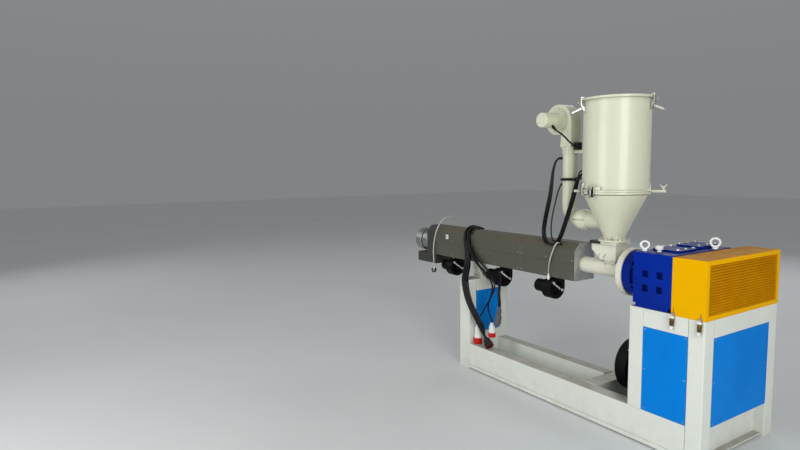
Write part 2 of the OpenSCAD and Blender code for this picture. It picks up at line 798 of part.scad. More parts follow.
// Cover from x0 to x1, with the groove of the joint between its lower and upper halves
module cover(x0, x1, low) {
    groove = 2;
    translate([x0, 0, axis_h]) rotate([90, 0, 90]) linear_extrude(x1 - x0) difference() {
        polygon(cover_outline(low));
        circle(r = barrel_r + seam);
        for (side = [-1, 1]) translate([side * cover_w - groove, 4]) square([2 * groove, groove]);
    }
}

// Barrel, with the bright plate that closes the first cover
module barrel() {
    color("silver") {
        rod_x(casing_x, throat_x + panel_t - casing_x, 0, axis_h, barrel_r);
        translate([throat_x + seam, 0, axis_h]) rotate([90, 0, 90]) linear_extrude(panel_t - seam)
            polygon(cover_outline(cover_down));
    }
}

module zone_cover_1() {
    color("gray") cover(throat_x - first_l + seam, throat_x, cover_down);
}

module zone_cover_2() {
    color("gray") cover(joint_x, throat_x - first_l, cover_down);
}

module zone_cover_3() {
    color("gray") cover(last_x, joint_x - bracket_gap, cover_down);
}

// Middle of cover i along the barrel
function zone_middle(i) = i == 1 ? throat_x - first_l / 2
    : i == 2 ? (throat_x - first_l + joint_x) / 2
    : (joint_x - bracket_gap + casing_x) / 2;

// Where the housing of the fan under cover i starts; the second one keeps clear of the pedestal
function fan_place(i) = i == 2 ? ped_x + fan_gap + fan_motor_l
    : zone_middle(i) - fan_shift + (fan_motor_l - fan_w) / 2;

// Radial fan under cover i: spiral housing with an open inlet, and its motor towards the die
module cooling_fan(i) {
    hub = 20;
    inlet = 0.6 * fan_r;
    x0 = fan_place(i);
    top = fan_drop - cover_down - seam;
    color("dimgray") translate([x0, 0, axis_h - fan_drop]) {
        difference() {
            rotate([90, 0, 90]) linear_extrude(fan_w) mirror([0, 1])
                polygon(scroll(0.74 * fan_r, fan_r, 0.9 * fan_r, top));
            translate([fan_w - 30, 0, 0]) rotate([0, 90, 0]) cylinder(r = inlet, h = 31);
        }
        translate([fan_w - 31, 0, 0]) rotate([0, 90, 0]) cylinder(r = hub, h = 22);
        translate([fan_w - 1, 0, 15]) rotate([-35, 0, 0]) {
            block([0, -inlet - 10, -6], [5, 2 * inlet + 20, 12]);
            for (side = [-1, 1]) translate([0, side * (inlet + 2), 0]) rotate([0, 90, 0]) cylinder(r = 9, h = 14);
        }
        for (k = [0:11]) translate([fan_w - 31, 0, 0]) rotate([30 * k, 0, 0]) translate([0, inlet - 16, -1.5])
            rotate([25, 0, 0]) cube([22, 14, 3]);
        translate([-fan_motor_l, 0, 0]) rotate([0, 90, 0]) rotate_extrude()
            polygon(concat([[0, 0]], arc(fan_motor_r - 10, 10, 10, 270), [[fan_motor_r, fan_motor_l + 1],
                           [0, fan_motor_l + 1]]));
    }
}

// Bracket on the pedestal: a web that carries the barrel between two covers, and its foot
module barrel_bracket() {
    foot_t = 12;
    web = bracket_gap - 2 * seam;
    half = 70;
    x = joint_x - bracket_gap + seam;
    color("whitesmoke") {
        block([-ped_x, -half, ped_h], [ped_l, 2 * half, foot_t]);
        translate([x, 0, 0]) rotate([90, 0, 90]) linear_extrude(web) difference() {
            polygon([[-half, ped_h], [half, ped_h], [half, ped_h + 40], [barrel_r + 8, axis_h - cover_down],
                     [barrel_r + 8, axis_h - 10], [-barrel_r - 8, axis_h - 10], [-barrel_r - 8, axis_h - cover_down],
                     [-half, ped_h + 40]]);
            translate([0, axis_h]) circle(r = barrel_r + seam);
        }
        for (side = [-1, 1]) translate([0, side * 45 + 5, ped_h]) rotate([90, 0, 0]) linear_extrude(10)
            polygon([[x + 1, 0], [ped_x - 6, 0], [x + web, axis_h - cover_down - ped_h - 20], [x + 1, axis_h - cover_down - ped_h - 20]]);
    }
}

// Dark casing past the last cover, with a tray that reaches under the flanges
module die_end_casing() {
    tray_l = 150;
    tray_top = flange_r + 6;
    color("dimgray") {
        cover(casing_x, last_x - seam, casing_down);
        block([casing_x - tray_l, -cover_w, axis_h - casing_down], [tray_l + 1, 2 * cover_w, casing_down - tray_top]);
    }
}

// Outline of a flange as thick as t, revolved about the barrel's axis
module flange_outline(t) {
    edge = 6;
    polygon([[0, 0], [flange_r - edge, 0], [flange_r, edge], [flange_r, t - edge], [flange_r - edge, t], [0, t]]);
}

module barrel_flange() {
    color("silver") turned_x(casing_x - flange_t, 0, axis_h) flange_outline(flange_t - seam);
}

// Flange for the die, with its bolt holes and the outlet
module die_flange() {
    outlet = 33;
    neck = bolt_circle - bolt_r - 5;
    color("silver") difference() {
        union() {
            turned_x(die_x, 0, axis_h) flange_outline(flange_t);
            rod_x(die_x + flange_t - 1, flange_gap + 1 - seam, 0, axis_h, neck);
        }
        rod_x(die_x - 1, flange_t, 0, axis_h, outlet);
        for (i = [0:bolts - 1]) translate([die_x - 1, 0, axis_h]) rotate([360 * (i + 0.5) / bolts, 0, 0])
            translate([0, 0, bolt_circle]) rotate([0, 90, 0]) cylinder(r = bolt_r, h = flange_t + 2);
    }
}

module pedestal_posts() {
    color("whitesmoke") {
        translate([-ped_x, near_y, 0]) linear_extrude(ped_h) polygon(rounded(ped_l, near_post, beam_r));
        translate([-ped_x, spine_y - far_post, 0]) linear_extrude(ped_h) polygon(rounded(ped_l, far_post, beam_r));
    }
}

module pedestal_rails() {
    y0 = near_y + near_post + seam;
    w = spine_w - near_post - far_post - 2 * seam;
    color("whitesmoke") {
        block([-ped_x, y0, 0], [ped_l, w, panel_low]);
        block([-ped_x, y0, panel_high], [ped_l, w, ped_h - panel_high]);
    }
}

module pedestal_panels() {
    color("dodgerblue") for (x = [-ped_x, ped_x - panel_t]) plate_yz(x, near_y + near_post + seam, panel_low + seam,
                                 spine_w - near_post - far_post - 2 * seam, panel_high - panel_low - 2 * seam, panel_t, 18);
}

// Box on the far side of the last cover, with a gland on its top for each cable
module terminal_box() {
    color("gainsboro") {
        translate([last_x + last_l - 116, cover_w, axis_h - 56]) linear_extrude(70) polygon(rounded(110, 50, 4));
        translate([last_x + last_l - 92, cover_w + 26, axis_h + 12]) cylinder(r = 17, h = 20, $fn = 6);
        for (back = [54, 24]) translate([last_x + last_l - back, cover_w + 26, axis_h + 12])
            cylinder(r = 12, h = 20, $fn = 6);
    }
}

// Glands and the box that the other leads come out of, cut to the round of what carries them
module cable_glands() {
    color("dimgray") {
        for (g = [[-20, heater_z + 327], [10, heater_z + 147]]) difference() {
            rod_x(air_x - heater_r - 14.5, 30, g[0], g[1], 9);
            translate([air_x, 0, g[1] - 20]) cylinder(r = heater_r + 0.3, h = 40);
        }
        for (g = [[195, shell_z + 72, 22], [193.6, shell_z + 122, 20]]) difference() {
            translate([hopper_x, 0, g[1]]) rotate([0, 0, g[0]]) rod_x(dryer_r - 8, g[2], 0, 0, 9);
            translate([hopper_x, 0, g[1] - 20]) cylinder(r = dryer_r + 0.3, h = 40);
        }
        difference() {
            translate([blower_x + 41.5, -scroll_w / 2 - 90, blower_z - 49]) rotate([0, -40, 0]) cylinder(r = 9, h = 19);
            translate([blower_x, -120, blower_z]) rotate([90, 0, 0]) cylinder(r = blower_r + 0.3, h = 40);
        }
        translate([last_x + 35, cover_w + 0.3, axis_h + 40]) rotate([-90, 0, 0]) cylinder(r = 8, h = 13.7);
        translate([throat_x - 140.5, 19 - cover_w, axis_h + cover_up - 17]) rotate([45, 0, 0]) translate([0, 0, -9.7])
            cylinder(r = 7, h = 9.7);
        block([air_x + 60.5, -36, mouth_z - 12 + 0.3], [36, 42, 52]);
        rod_x(fan_place(2) + fan_w + 0.35, 8.9, -67, axis_h - fan_drop + 28, 7);
    }
}

// Routes of the free cables, chosen by hand
plug_route_1 = [[-160, 128, 1032], [-160, 128, 1062], [-158, 114, 1116], [-152, 70, 1158], [-144, 4, 1174],
                [-132, -62, 1160], [-116, -110, 1116], [-98, -128, 1056], [-84, -130, 990], [-74, -136, 920],
                [-58, -156, 858], [-34, -194, 796], [-8, -225, 738], [10, -230, 682], [30, -230, 624],
                [60, -230, 566], [98, -228, 514], [132, -221, 464], [152, -207, 420], [164, -190, 378],
                [176, -175, 342], [192, -169, 318], [214, -171, 298]];
plug_route_2 = [[-122, 128, 1032], [-122, 127, 1068], [-119, 106, 1122], [-113, 62, 1162], [-106, 4, 1172],
                [-96, -60, 1162], [-84, -106, 1118], [-68, -122, 1064], [-44, -127, 1006], [-8, -130, 952],
                [42, -134, 904], [96, -138, 868], [152, -140, 838], [214, -141, 798], [260, -142, 748],
                [268, -142, 698], [248, -142, 636], [222, -142, 576], [218, -141, 524], [236, -138, 478],
                [252, -135, 448], [256, -134, 424]];
plug_route_3 = [[-92, 128, 1032], [-92, 127, 1068], [-90, 104, 1120], [-85, 60, 1158], [-78, 4, 1167],
                [-70, -58, 1158], [-60, -104, 1116], [-44, -121, 1062], [-18, -125, 1006], [20, -129, 962],
                [70, -132, 926], [128, -135, 890], [190, -137, 854], [246, -138, 812], [284, -139, 764],
                [290, -142, 710], [270, -152, 648], [232, -160, 584], [188, -161, 520], [144, -158, 464],
                [114, -153, 424], [104, -150, 381]];
fan_route = [[267, -67, 813], [286, -70, 808], [306, -90, 778], [322, -112, 734], [334, -128, 688], [346, -137, 644],
             [354, -140, 606], [352, -140, 575]];
heater_route_1 = [[853, -20, 1740], [836, -21, 1739], [812, -28, 1718], [800, -42, 1650], [800, -56, 1560],
                [796, -66, 1470], [780, -73, 1380], [762, -77, 1290], [756, -82, 1205], [780, -88, 1140],
                [830, -88, 1124], [880, -87, 1134], [916, -82, 1190], [942, -78, 1260], [966, -75, 1330],
                [990, -73, 1400], [1012, -71, 1470], [1028, -68, 1535], [1046, -66, 1588], [1066, -62, 1599],
                [1082, -58, 1600]];
heater_route_2 = [[853, 10, 1560], [838, 8, 1556], [826, -4, 1524], [824, -26, 1470], [822, -46, 1400],
                  [816, -62, 1320], [816, -72, 1230], [830, -74, 1160], [862, -70, 1143], [894, -66, 1170],
                  [924, -62, 1240], [950, -60, 1320], [976, -58, 1396], [1000, -57, 1468], [1020, -55, 1540],
                  [1036, -56, 1598], [1050, -58, 1636], [1066, -56, 1650], [1083, -52, 1650]];
motor_route = [[884, -140, 1955], [894, -140, 1944], [914, -134, 1926], [938, -118, 1906], [960, -98, 1878],
               [980, -80, 1848], [994, -58, 1828], [996, -36, 1822]];
sleeve_route = [[-520, 116, 1040], [-520, 134, 1043], [-520, 150, 1066], [-520, 150, 1110], [-518, 122, 1180],
                [-514, 62, 1226], [-512, -4, 1232], [-516, -66, 1194], [-530, -110, 1110], [-550, -122, 1010],
                [-560, -124, 910], [-558, -122, 830], [-558, -122, 790]];
thermo_route = [[918, -83, 1133], [916, -91, 1141], [908, -106, 1142], [896, -117, 1120], [880, -118, 1085],
                [862, -118, 1045], [845, -118, 990], [837, -116, 945], [836, -115, 912]];

module plug_cable_1() {
    color("black") cable(plug_route_1, 11, [1, 0.2, 0]);
}

module plug_cable_2() {
    color("black") cable(plug_route_2, 7, [1, 0.2, 0]);
}

module plug_cable_3() {
    color("black") cable(plug_route_3, 6, [1, 0.2, 0]);
}

module fan_lead() {
    color("black") cable(fan_route, 6, [0.1, 1, 0.1]);
}

// Round plug upright from its mouth at z0 to its top at z1: hollow mouth of radius r, collar and tapered grip
module plug(x, y, z0, z1, r) {
    h = z1 - z0 - 0.3;
    mouth_h = 0.3 * h;
    translate([x, y, z0]) rotate_extrude()
        polygon([[0, 8], [r - 10, 8], [r - 10, 0], [r - 2, 0], [r, 3], [r, mouth_h - 2], [r - 4, mouth_h],
                 [r - 1, mouth_h + 3], [r - 1, mouth_h + 16], [r - 5, mouth_h + 24], [r - 8, h - 30],
                 [0.5 * r, h - 14], [0.42 * r, h], [0, h]]);
}

// Black connector that lies on the near floor beam, its mouth down and open towards the drive end
module lying_plug() {
    translate([214.3, -171, 297.8]) rotate([0, 128, -10]) rotate_extrude()
        polygon([[0, 0], [15, 0], [17, 14], [26, 26], [28, 60], [36, 62], [36, 92], [28, 92], [28, 78], [0, 78]]);
}

// Two grey connectors, plugged together and tilted
module joined_plugs() {
    translate([352, -140, 575]) rotate([0, 189, 0]) translate([0, 0, 0.3]) rotate_extrude()
        polygon([[0, 0], [9, 0], [10, 14], [18, 20], [18, 72], [22, 76], [26, 82], [26, 140], [20, 160], [0, 160]]);
}

module cable_plugs() {
    color("whitesmoke") {
        plug(104, -150, beam_top + seam, 381, 36);
        plug(256, -134, 304, 424, 30);
        lying_plug();
        joined_plugs();
    }
}

module motor_lead() {
    color("black") cable(motor_route, 6, [0.1, 1, 0.3]);
}

module heater_cable_1() {
    color("black") cable(heater_route_1, 6, [0.1, 1, 0.1]);
}

module heater_cable_2() {
    color("black") cable(heater_route_2, 5, [0.1, 1, 0.1]);
}

module sleeve_lead() {
    color("silver") cable(sleeve_route, 4, [1, 0.1, 0.1]);
}

module thermo_lead() {
    color("silver") cable(thermo_route, 3.5, [0.3, 1, 0.1]);
}

// Plugs at the hanging ends of the sleeve lead and the thermocouple lead
module probe_plugs() {
    color("white") {
        translate([-558, -122, 730]) rotate_extrude()
            polygon([[0, 0], [8, 0], [12, 6], [12, 40], [6, 48], [6, 59.7], [0, 59.7]]);
        translate([836, -115, 866]) rotate_extrude()
            polygon([[0, 0], [4, 0], [8, 6], [8, 34], [5, 40], [5, 45.7], [0, 45.7]]);
    }
}

near_floor_beam();
spine_beam();
far_floor_beam();
wide_cross_beam();
drive_end_channel();
cabinet_posts();
cabinet_rails();
gearbox_seat();
cabinet_panels();
main_motor();
motor_cowl();
motor_bed();
belt_guard();
guard_latches();
gearbox_housing();
gearbox_covers();
lifting_eyes();
breather();
white_flange();
feed_throat();
hopper_base();
slide_gate();
outlet_spool();
dryer_cone();
dryer_shell();
dryer_lid();
clamp_arms();
dryer_latches();
blower_scroll();
blower_motor();
heater_tube();
tube_bracket();
air_elbow();
barrel();
zone_cover_1();
zone_cover_2();
zone_cover_3();
cooling_fan(1);  // cooling_fan_1
cooling_fan(2);  // cooling_fan_2
cooling_fan(3);  // cooling_fan_3
barrel_bracket();
die_end_casing();
barrel_flange();
die_flange();
pedestal_posts();
pedestal_rails();
pedestal_panels();
terminal_box();
cable_glands();
plug_cable_1();
plug_cable_2();
plug_cable_3();
fan_lead();
cable_plugs();
motor_lead();
heater_cable_1();
heater_cable_2();
sleeve_lead();
thermo_lead();
probe_plugs();
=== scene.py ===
"""Single-screw plastic extruder with a hopper dryer, dressed and lit for a studio picture."""
from __future__ import annotations

import logging
import math
from dataclasses import dataclass
from enum import Enum

import bmesh
import bpy
from mathutils import Matrix, Vector

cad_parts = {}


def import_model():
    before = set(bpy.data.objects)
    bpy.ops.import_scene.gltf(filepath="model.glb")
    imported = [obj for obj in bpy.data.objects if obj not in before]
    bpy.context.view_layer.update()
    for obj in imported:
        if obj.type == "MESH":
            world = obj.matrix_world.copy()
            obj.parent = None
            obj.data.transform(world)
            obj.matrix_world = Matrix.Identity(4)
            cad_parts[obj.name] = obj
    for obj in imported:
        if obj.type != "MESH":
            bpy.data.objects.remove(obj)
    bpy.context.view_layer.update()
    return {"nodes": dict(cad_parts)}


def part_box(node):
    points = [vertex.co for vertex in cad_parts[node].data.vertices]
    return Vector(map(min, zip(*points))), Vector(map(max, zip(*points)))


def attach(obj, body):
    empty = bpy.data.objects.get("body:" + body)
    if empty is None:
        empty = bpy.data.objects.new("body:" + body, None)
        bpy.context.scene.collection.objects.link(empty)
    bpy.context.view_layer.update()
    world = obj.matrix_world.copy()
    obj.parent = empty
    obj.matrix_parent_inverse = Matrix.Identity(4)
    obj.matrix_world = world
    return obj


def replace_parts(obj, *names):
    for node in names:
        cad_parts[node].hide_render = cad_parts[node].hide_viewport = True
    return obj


log = logging.getLogger("extruder")
MM = 0.001
UP = Vector((0.0, 0.0, 1.0))
NEAR = Vector((0.0, -1.0, 0.0))
FAR = Vector((0.0, 1.0, 0.0))
TO_DRIVE = Vector((1.0, 0.0, 0.0))
TO_DIE = Vector((-1.0, 0.0, 0.0))
BARREL_HEIGHT = 1.0
Point = tuple[float, float, float]
Chip = tuple[int, int, int]
Outline = list[tuple[float, float]]
Socket = bpy.types.NodeSocket


class Sheen(Enum):
    """How glossy a coat or a metal is, as a roughness."""

    GLOSS = 0.24
    SATIN = 0.36
    EGGSHELL = 0.46
    MATT = 0.62


class Axis(Enum):
    """The axis that a turned metal face was turned about, as the two coordinates square to it."""

    BARREL = (1, 2)
    UPRIGHT = (0, 1)


def linear(red: int, green: int, blue: int) -> tuple[float, float, float, float]:
    """Turns a paint chip's screen colour into the shader's linear colour.

    Args:
        red: Red, 0 to 255.
        green: Green, 0 to 255.
        blue: Blue, 0 to 255.

    Returns:
        The linear colour with full alpha.
    """
    parts = [value / 255 for value in (red, green, blue)]
    red_part, green_part, blue_part = (
        part / 12.92 if part <= 0.04045 else ((part + 0.055) / 1.055) ** 2.4 for part in parts)
    return red_part, green_part, blue_part, 1.0


@dataclass
class NodeBoard:
    """A node tree with short calls that place and join its nodes."""

    tree: bpy.types.NodeTree

    def add(self, kind: str, **settings: object) -> bpy.types.Node:
        """Places a node.

        Args:
            kind: The node's type without its Shader prefix.
            settings: Values for the node's own fields.

        Returns:
            The new node.
        """
        node = self.tree.nodes.new("ShaderNode" + kind)
        for name, value in settings.items():
            setattr(node, name, value)
        return node

    def feed(self, target: Socket, value: object) -> None:
        """Joins a socket to another, or sets it to a plain value.

        Args:
            target: The socket that is fed.
            value: The socket that it is joined to, or a number or a colour.
        """
        if isinstance(value, Socket):
            self.tree.links.new(value, target)
        else:
            target.default_value = value

    def math(self, operation: str, first: object, second: object, clamp: bool = False) -> Socket:
        """Places a Math node.

        Args:
            operation: What it works out.
            first: Its first number, or the socket that gives it.
            second: Its second one.
            clamp: True where the result is held between 0 and 1.

        Returns:
            The result's socket.
        """
        node = self.add("Math", operation=operation, use_clamp=clamp)
        self.feed(node.inputs[0], first)
        self.feed(node.inputs[1], second)
        return node.outputs[0]

    def sine(self, value: Socket) -> Socket:
        """Returns the sine of a value in radians."""
        return self.math("SINE", value, 0.0)

    def times(self, first: object, second: object, clamp: bool = False) -> Socket:
        """Returns the product of two values, held between 0 and 1 where clamp is True."""
        return self.math("MULTIPLY", first, second, clamp)

    def plus(self, value: object, mask: Socket, amount: float) -> Socket:
        """Returns a value with an amount added as far as a mask covers it."""
        return self.math("ADD", value, self.times(mask, amount))

    def mix(self, factor: object, first: object, second: object) -> Socket:
        """Places a colour Mix node.

        Args:
            factor: The share of the second colour.
            first: The first colour.
            second: The second colour.

        Returns:
            The mixed colour's socket.
        """
        node = self.add("Mix", data_type="RGBA")
        self.feed(node.inputs[0], factor)
        self.feed(node.inputs[6], first)
        self.feed(node.inputs[7], second)
        return node.outputs[2]

    def ramp(self, value: object, low: float, high: float) -> Socket:
        """Places a smooth step.

        Args:
            value: What is stepped.
            low: Where it gives 0.
            high: Where it gives 1.

        Returns:
            The result's socket.
        """
        node = self.add("MapRange", interpolation_type="SMOOTHSTEP")
        self.feed(node.inputs["Value"], value)
        node.inputs["From Min"].default_value = low
        node.inputs["From Max"].default_value = high
        return node.outputs["Result"]

    def place(self) -> Socket:
        """Returns the place on the surface, in the object's own metres."""
        return self.add("TexCoord").outputs["Object"]

    def parts(self, vector: Socket) -> bpy.types.bpy_prop_collection:
        """Splits a vector.

        Args:
            vector: The vector's socket.

        Returns:
            The sockets of its X, Y and Z.
        """
        node = self.add("SeparateXYZ")
        self.feed(node.inputs[0], vector)
        return node.outputs

    def noise(self, scale: object, detail: float) -> Socket:
        """Places a noise texture in the object's own metres.

        Args:
            scale: How many patches it has to the metre.
            detail: How many finer layers it has.

        Returns:
            The socket of its value.
        """
        node = self.add("TexNoise")
        self.feed(node.inputs["Vector"], self.place())
        self.feed(node.inputs["Scale"], scale)
        node.inputs["Detail"].default_value = detail
        return node.outputs["Fac"]

    def put(self, group: bpy.types.NodeTree, **values: object) -> bpy.types.Node:
        """Places a node group.

        Args:
            group: The group.
            values: Its inputs, with _ for the spaces in their names.

        Returns:
            The new group node.
        """
        node = self.add("Group")
        node.node_tree = group
        for name, value in values.items():
            self.feed(node.inputs[name.replace("_", " ")], value)
        return node

    def bump(self, shader: bpy.types.Node, height: Socket, depth: float, strength: float,
             under: Socket | None = None) -> None:
        """Raises the surface that a shader covers.

        Args:
            shader: The shader.
            height: The height's socket.
            depth: How far a height of 1 stands out, in metres.
            strength: How much of that shows.
            under: The normal that it lies on, if not the mesh's own.
        """
        node = self.add("Bump")
        node.inputs["Distance"].default_value = depth
        node.inputs["Strength"].default_value = strength
        self.feed(node.inputs["Height"], height)
        if under is not None:
            self.feed(node.inputs["Normal"], under)
        self.feed(shader.inputs["Normal"], node.outputs["Normal"])

    def paint_over(self, mask: Socket, tone: Chip) -> None:
        """Paints a second colour over the one that the tree's shader has.

        Args:
            mask: Where the second colour goes.
            tone: The second colour.
        """
        target = self.tree.nodes["Principled BSDF"].inputs["Base Color"]
        self.feed(target, self.mix(mask, target.links[0].from_socket, linear(*tone)))


class Effects:
    """The node groups that several finishes share, each built once."""

    def __init__(self) -> None:
        """Builds every group."""
        self.clouds = self.build_clouds()
        self.edges = self.build_edges()
        self.dust_and_top_shade = self.build_dust_and_top_shade()
        self.floor_grime = self.build_floor_grime()
        self.skin = self.build_skin()
        self.lathe_lines = {axis: self.build_lathe_lines(axis) for axis in Axis}
        self.weave = self.build_weave()
        self.painted_recess_shade = self.build_painted_recess_shade()

    def start(self, name: str, inputs: dict[str, str],
              outputs: dict[str, str]) -> tuple[NodeBoard, dict, dict]:
        """Opens a new group.

        Args:
            name: The group's name.
            inputs: Each input's kind, Float or Color, by name.
            outputs: Each output's kind by name.

        Returns:
            The board, and the sockets to read the inputs from and to feed the outputs to.
        """
        tree = bpy.data.node_groups.new(name, "ShaderNodeTree")
        for side, sockets in (("INPUT", inputs), ("OUTPUT", outputs)):
            for label, kind in sockets.items():
                tree.interface.new_socket(label, in_out=side, socket_type="NodeSocket" + kind)
        enter = tree.nodes.new("NodeGroupInput")
        leave = tree.nodes.new("NodeGroupOutput")
        return NodeBoard(tree), enter.outputs, leave.inputs

    def build_clouds(self) -> bpy.types.NodeTree:
        """Builds soft uneven patches in a coat's colour and gloss.

        Returns:
            The group.
        """
        board, given, out = self.start(
            "Uneven Coat", {"Color": "Color", "Shade": "Color", "Amount": "Float", "Scale": "Float"},
            {"Color": "Color", "Mask": "Float"})
        broad = board.noise(given["Scale"], detail=3.0)
        fine = board.noise(board.times(given["Scale"], 11.0), detail=6.0)
        both = board.math("ADD", board.times(broad, 0.75), board.times(fine, 0.25))
        mask = board.times(board.ramp(both, low=0.38, high=0.62), given["Amount"], clamp=True)
        board.feed(out["Mask"], mask)
        board.feed(out["Color"], board.mix(mask, given["Color"], given["Shade"]))
        return board.tree

    def build_edges(self) -> bpy.types.NodeTree:
        """Builds the soft edge of folded sheet, and the mask of the wear along it.

        Returns:
            The group.
        """
        board, given, out = self.start("Edge Wear", {"Radius": "Float", "Amount": "Float"},
                                       {"Mask": "Float", "Normal": "Vector"})
        soft = board.add("Bevel", samples=4)
        board.feed(soft.inputs["Radius"], given["Radius"])
        across = board.add("VectorMath", operation="DOT_PRODUCT")
        board.feed(across.inputs[0], soft.outputs["Normal"])
        board.feed(across.inputs[1], board.add("NewGeometry").outputs["Normal"])
        edge = board.ramp(board.math("SUBTRACT", 1.0, across.outputs["Value"]), low=0.02, high=0.2)
        chips = board.ramp(board.noise(38.0, detail=8.0), low=0.5, high=0.68)
        board.feed(out["Mask"], board.times(board.times(edge, chips), given["Amount"], clamp=True))
        board.feed(out["Normal"], soft.outputs["Normal"])
        return board.tree

    def build_dust_and_top_shade(self) -> bpy.types.NodeTree:
        """Builds a colour laid on faces that look up: settled dust, and on some finishes painted shade that
        makes the tops darker.

        Returns:
            The group.
        """
        board, given, out = self.start(
            "Settled Dust", {"Color": "Color", "Dust": "Color", "Amount": "Float"},
            {"Color": "Color", "Mask": "Float"})
        facing = board.parts(board.add("NewGeometry").outputs["Normal"])
        level = board.ramp(facing["Z"], low=0.35, high=0.95)
        cover = board.plus(0.7, board.ramp(board.noise(9.0, detail=9.0), low=0.3, high=0.75), 0.3)
        mask = board.times(board.times(level, cover), given["Amount"], clamp=True)
        board.feed(out["Mask"], mask)
        board.feed(out["Color"], board.mix(mask, given["Color"], given["Dust"]))
        return board.tree

    def build_floor_grime(self) -> bpy.types.NodeTree:
        """Builds the grime that a coat picks up close to the floor.

        Returns:
            The group.
        """
        board, given, out = self.start(
            "Floor Grime", {"Color": "Color", "Grime": "Color", "Reach": "Float", "Amount": "Float"},
            {"Color": "Color", "Mask": "Float"})
        height = board.math("DIVIDE", board.parts(board.place())["Z"], given["Reach"])
        low = board.math("SUBTRACT", 1.0, height, clamp=True)
        smears = board.ramp(board.noise(14.0, detail=10.0), low=0.35, high=0.72)
        mask = board.times(board.times(board.math("POWER", low, 1.6), smears), given["Amount"], clamp=True)
        board.feed(out["Mask"], mask)
        board.feed(out["Color"], board.mix(mask, given["Color"], given["Grime"]))
        return board.tree

    def build_skin(self) -> bpy.types.NodeTree:
        """Builds the height of a sprayed or cast skin: fine orange peel over broad waves.

        Returns:
            The group.
        """
        board, given, out = self.start("Sprayed Skin", {"Peel": "Float", "Waves": "Float"},
                                       {"Height": "Float"})
        peel = board.times(board.noise(420.0, detail=2.0), given["Peel"])
        waves = board.times(board.noise(26.0, detail=2.0), given["Waves"])
        board.feed(out["Height"], board.math("ADD", peel, waves))
        return board.tree

    def build_lathe_lines(self, axis: Axis) -> bpy.types.NodeTree:
        """Builds the fine rings that turning leaves round an axis.

        Args:
            axis: The axis that the rings lie round.

        Returns:
            The group.
        """
        board, given, out = self.start("Lathe Lines " + axis.name.title(), {"Pitch": "Float"},
                                       {"Mask": "Float"})
        place = board.parts(board.place())
        first, second = (place[index] for index in axis.value)
        if axis is Axis.BARREL:
            second = board.math("SUBTRACT", second, BARREL_HEIGHT)
        squares = board.math("ADD", board.times(first, first), board.times(second, second))
        radius = board.math("SQRT", squares, 0.0)
        along = place[3 - sum(axis.value)]
        join = board.add("CombineXYZ")
        board.feed(join.inputs[0], board.math("DIVIDE", board.math("ADD", radius, along), given["Pitch"]))
        lines = board.add("TexNoise", noise_dimensions="3D")
        board.feed(lines.inputs["Vector"], join.outputs[0])
        lines.inputs["Scale"].default_value = 1.0
        lines.inputs["Detail"].default_value = 3.0
        board.feed(out["Mask"], board.ramp(lines.outputs["Fac"], low=0.3, high=0.7))
        return board.tree

    def build_painted_recess_shade(self) -> bpy.types.NodeTree:
        """Builds painted shade: a coat's colour darkened towards a tone in slots and corners, as far as
        ambient occlusion finds them closed in.

        Returns:
            The group.
        """
        board, given, out = self.start(
            "Shaded Recesses", {"Color": "Color", "Tone": "Color", "Reach": "Float", "Amount": "Float"},
            {"Color": "Color"})
        open_sky = board.add("AmbientOcclusion", samples=6)
        board.feed(open_sky.inputs["Distance"], given["Reach"])
        closed = board.math("SUBTRACT", 1.0, open_sky.outputs["AO"])
        mask = board.times(board.math("POWER", closed, 0.9), given["Amount"], clamp=True)
        board.feed(out["Color"], board.mix(mask, given["Color"], given["Tone"]))
        return board.tree

    def build_weave(self) -> bpy.types.NodeTree:
        """Builds the crossed strands of a braided sleeve.

        Returns:
            The group.
        """
        board, given, out = self.start("Braided Sleeve", {"Strand": "Float"}, {"Mask": "Float"})
        place = board.parts(board.place())
        across = board.math("ADD", place["X"], place["Y"])
        rise = board.math("DIVIDE", board.math("ADD", place["Z"], across), given["Strand"])
        fall = board.math("DIVIDE", board.math("SUBTRACT", place["Z"], across), given["Strand"])
        crossed = board.times(board.sine(rise), board.sine(fall))
        board.feed(out["Mask"], board.ramp(crossed, low=-0.7, high=0.7))
        return board.tree


def new_material(name: str) -> tuple[bpy.types.Material, NodeBoard, bpy.types.Node]:
    """Opens a new material.

    Args:
        name: The material's name.

    Returns:
        The material, its board and its Principled shader.
    """
    material = bpy.data.materials.new(name)
    material.use_nodes = True
    return material, NodeBoard(material.node_tree), material.node_tree.nodes["Principled BSDF"]


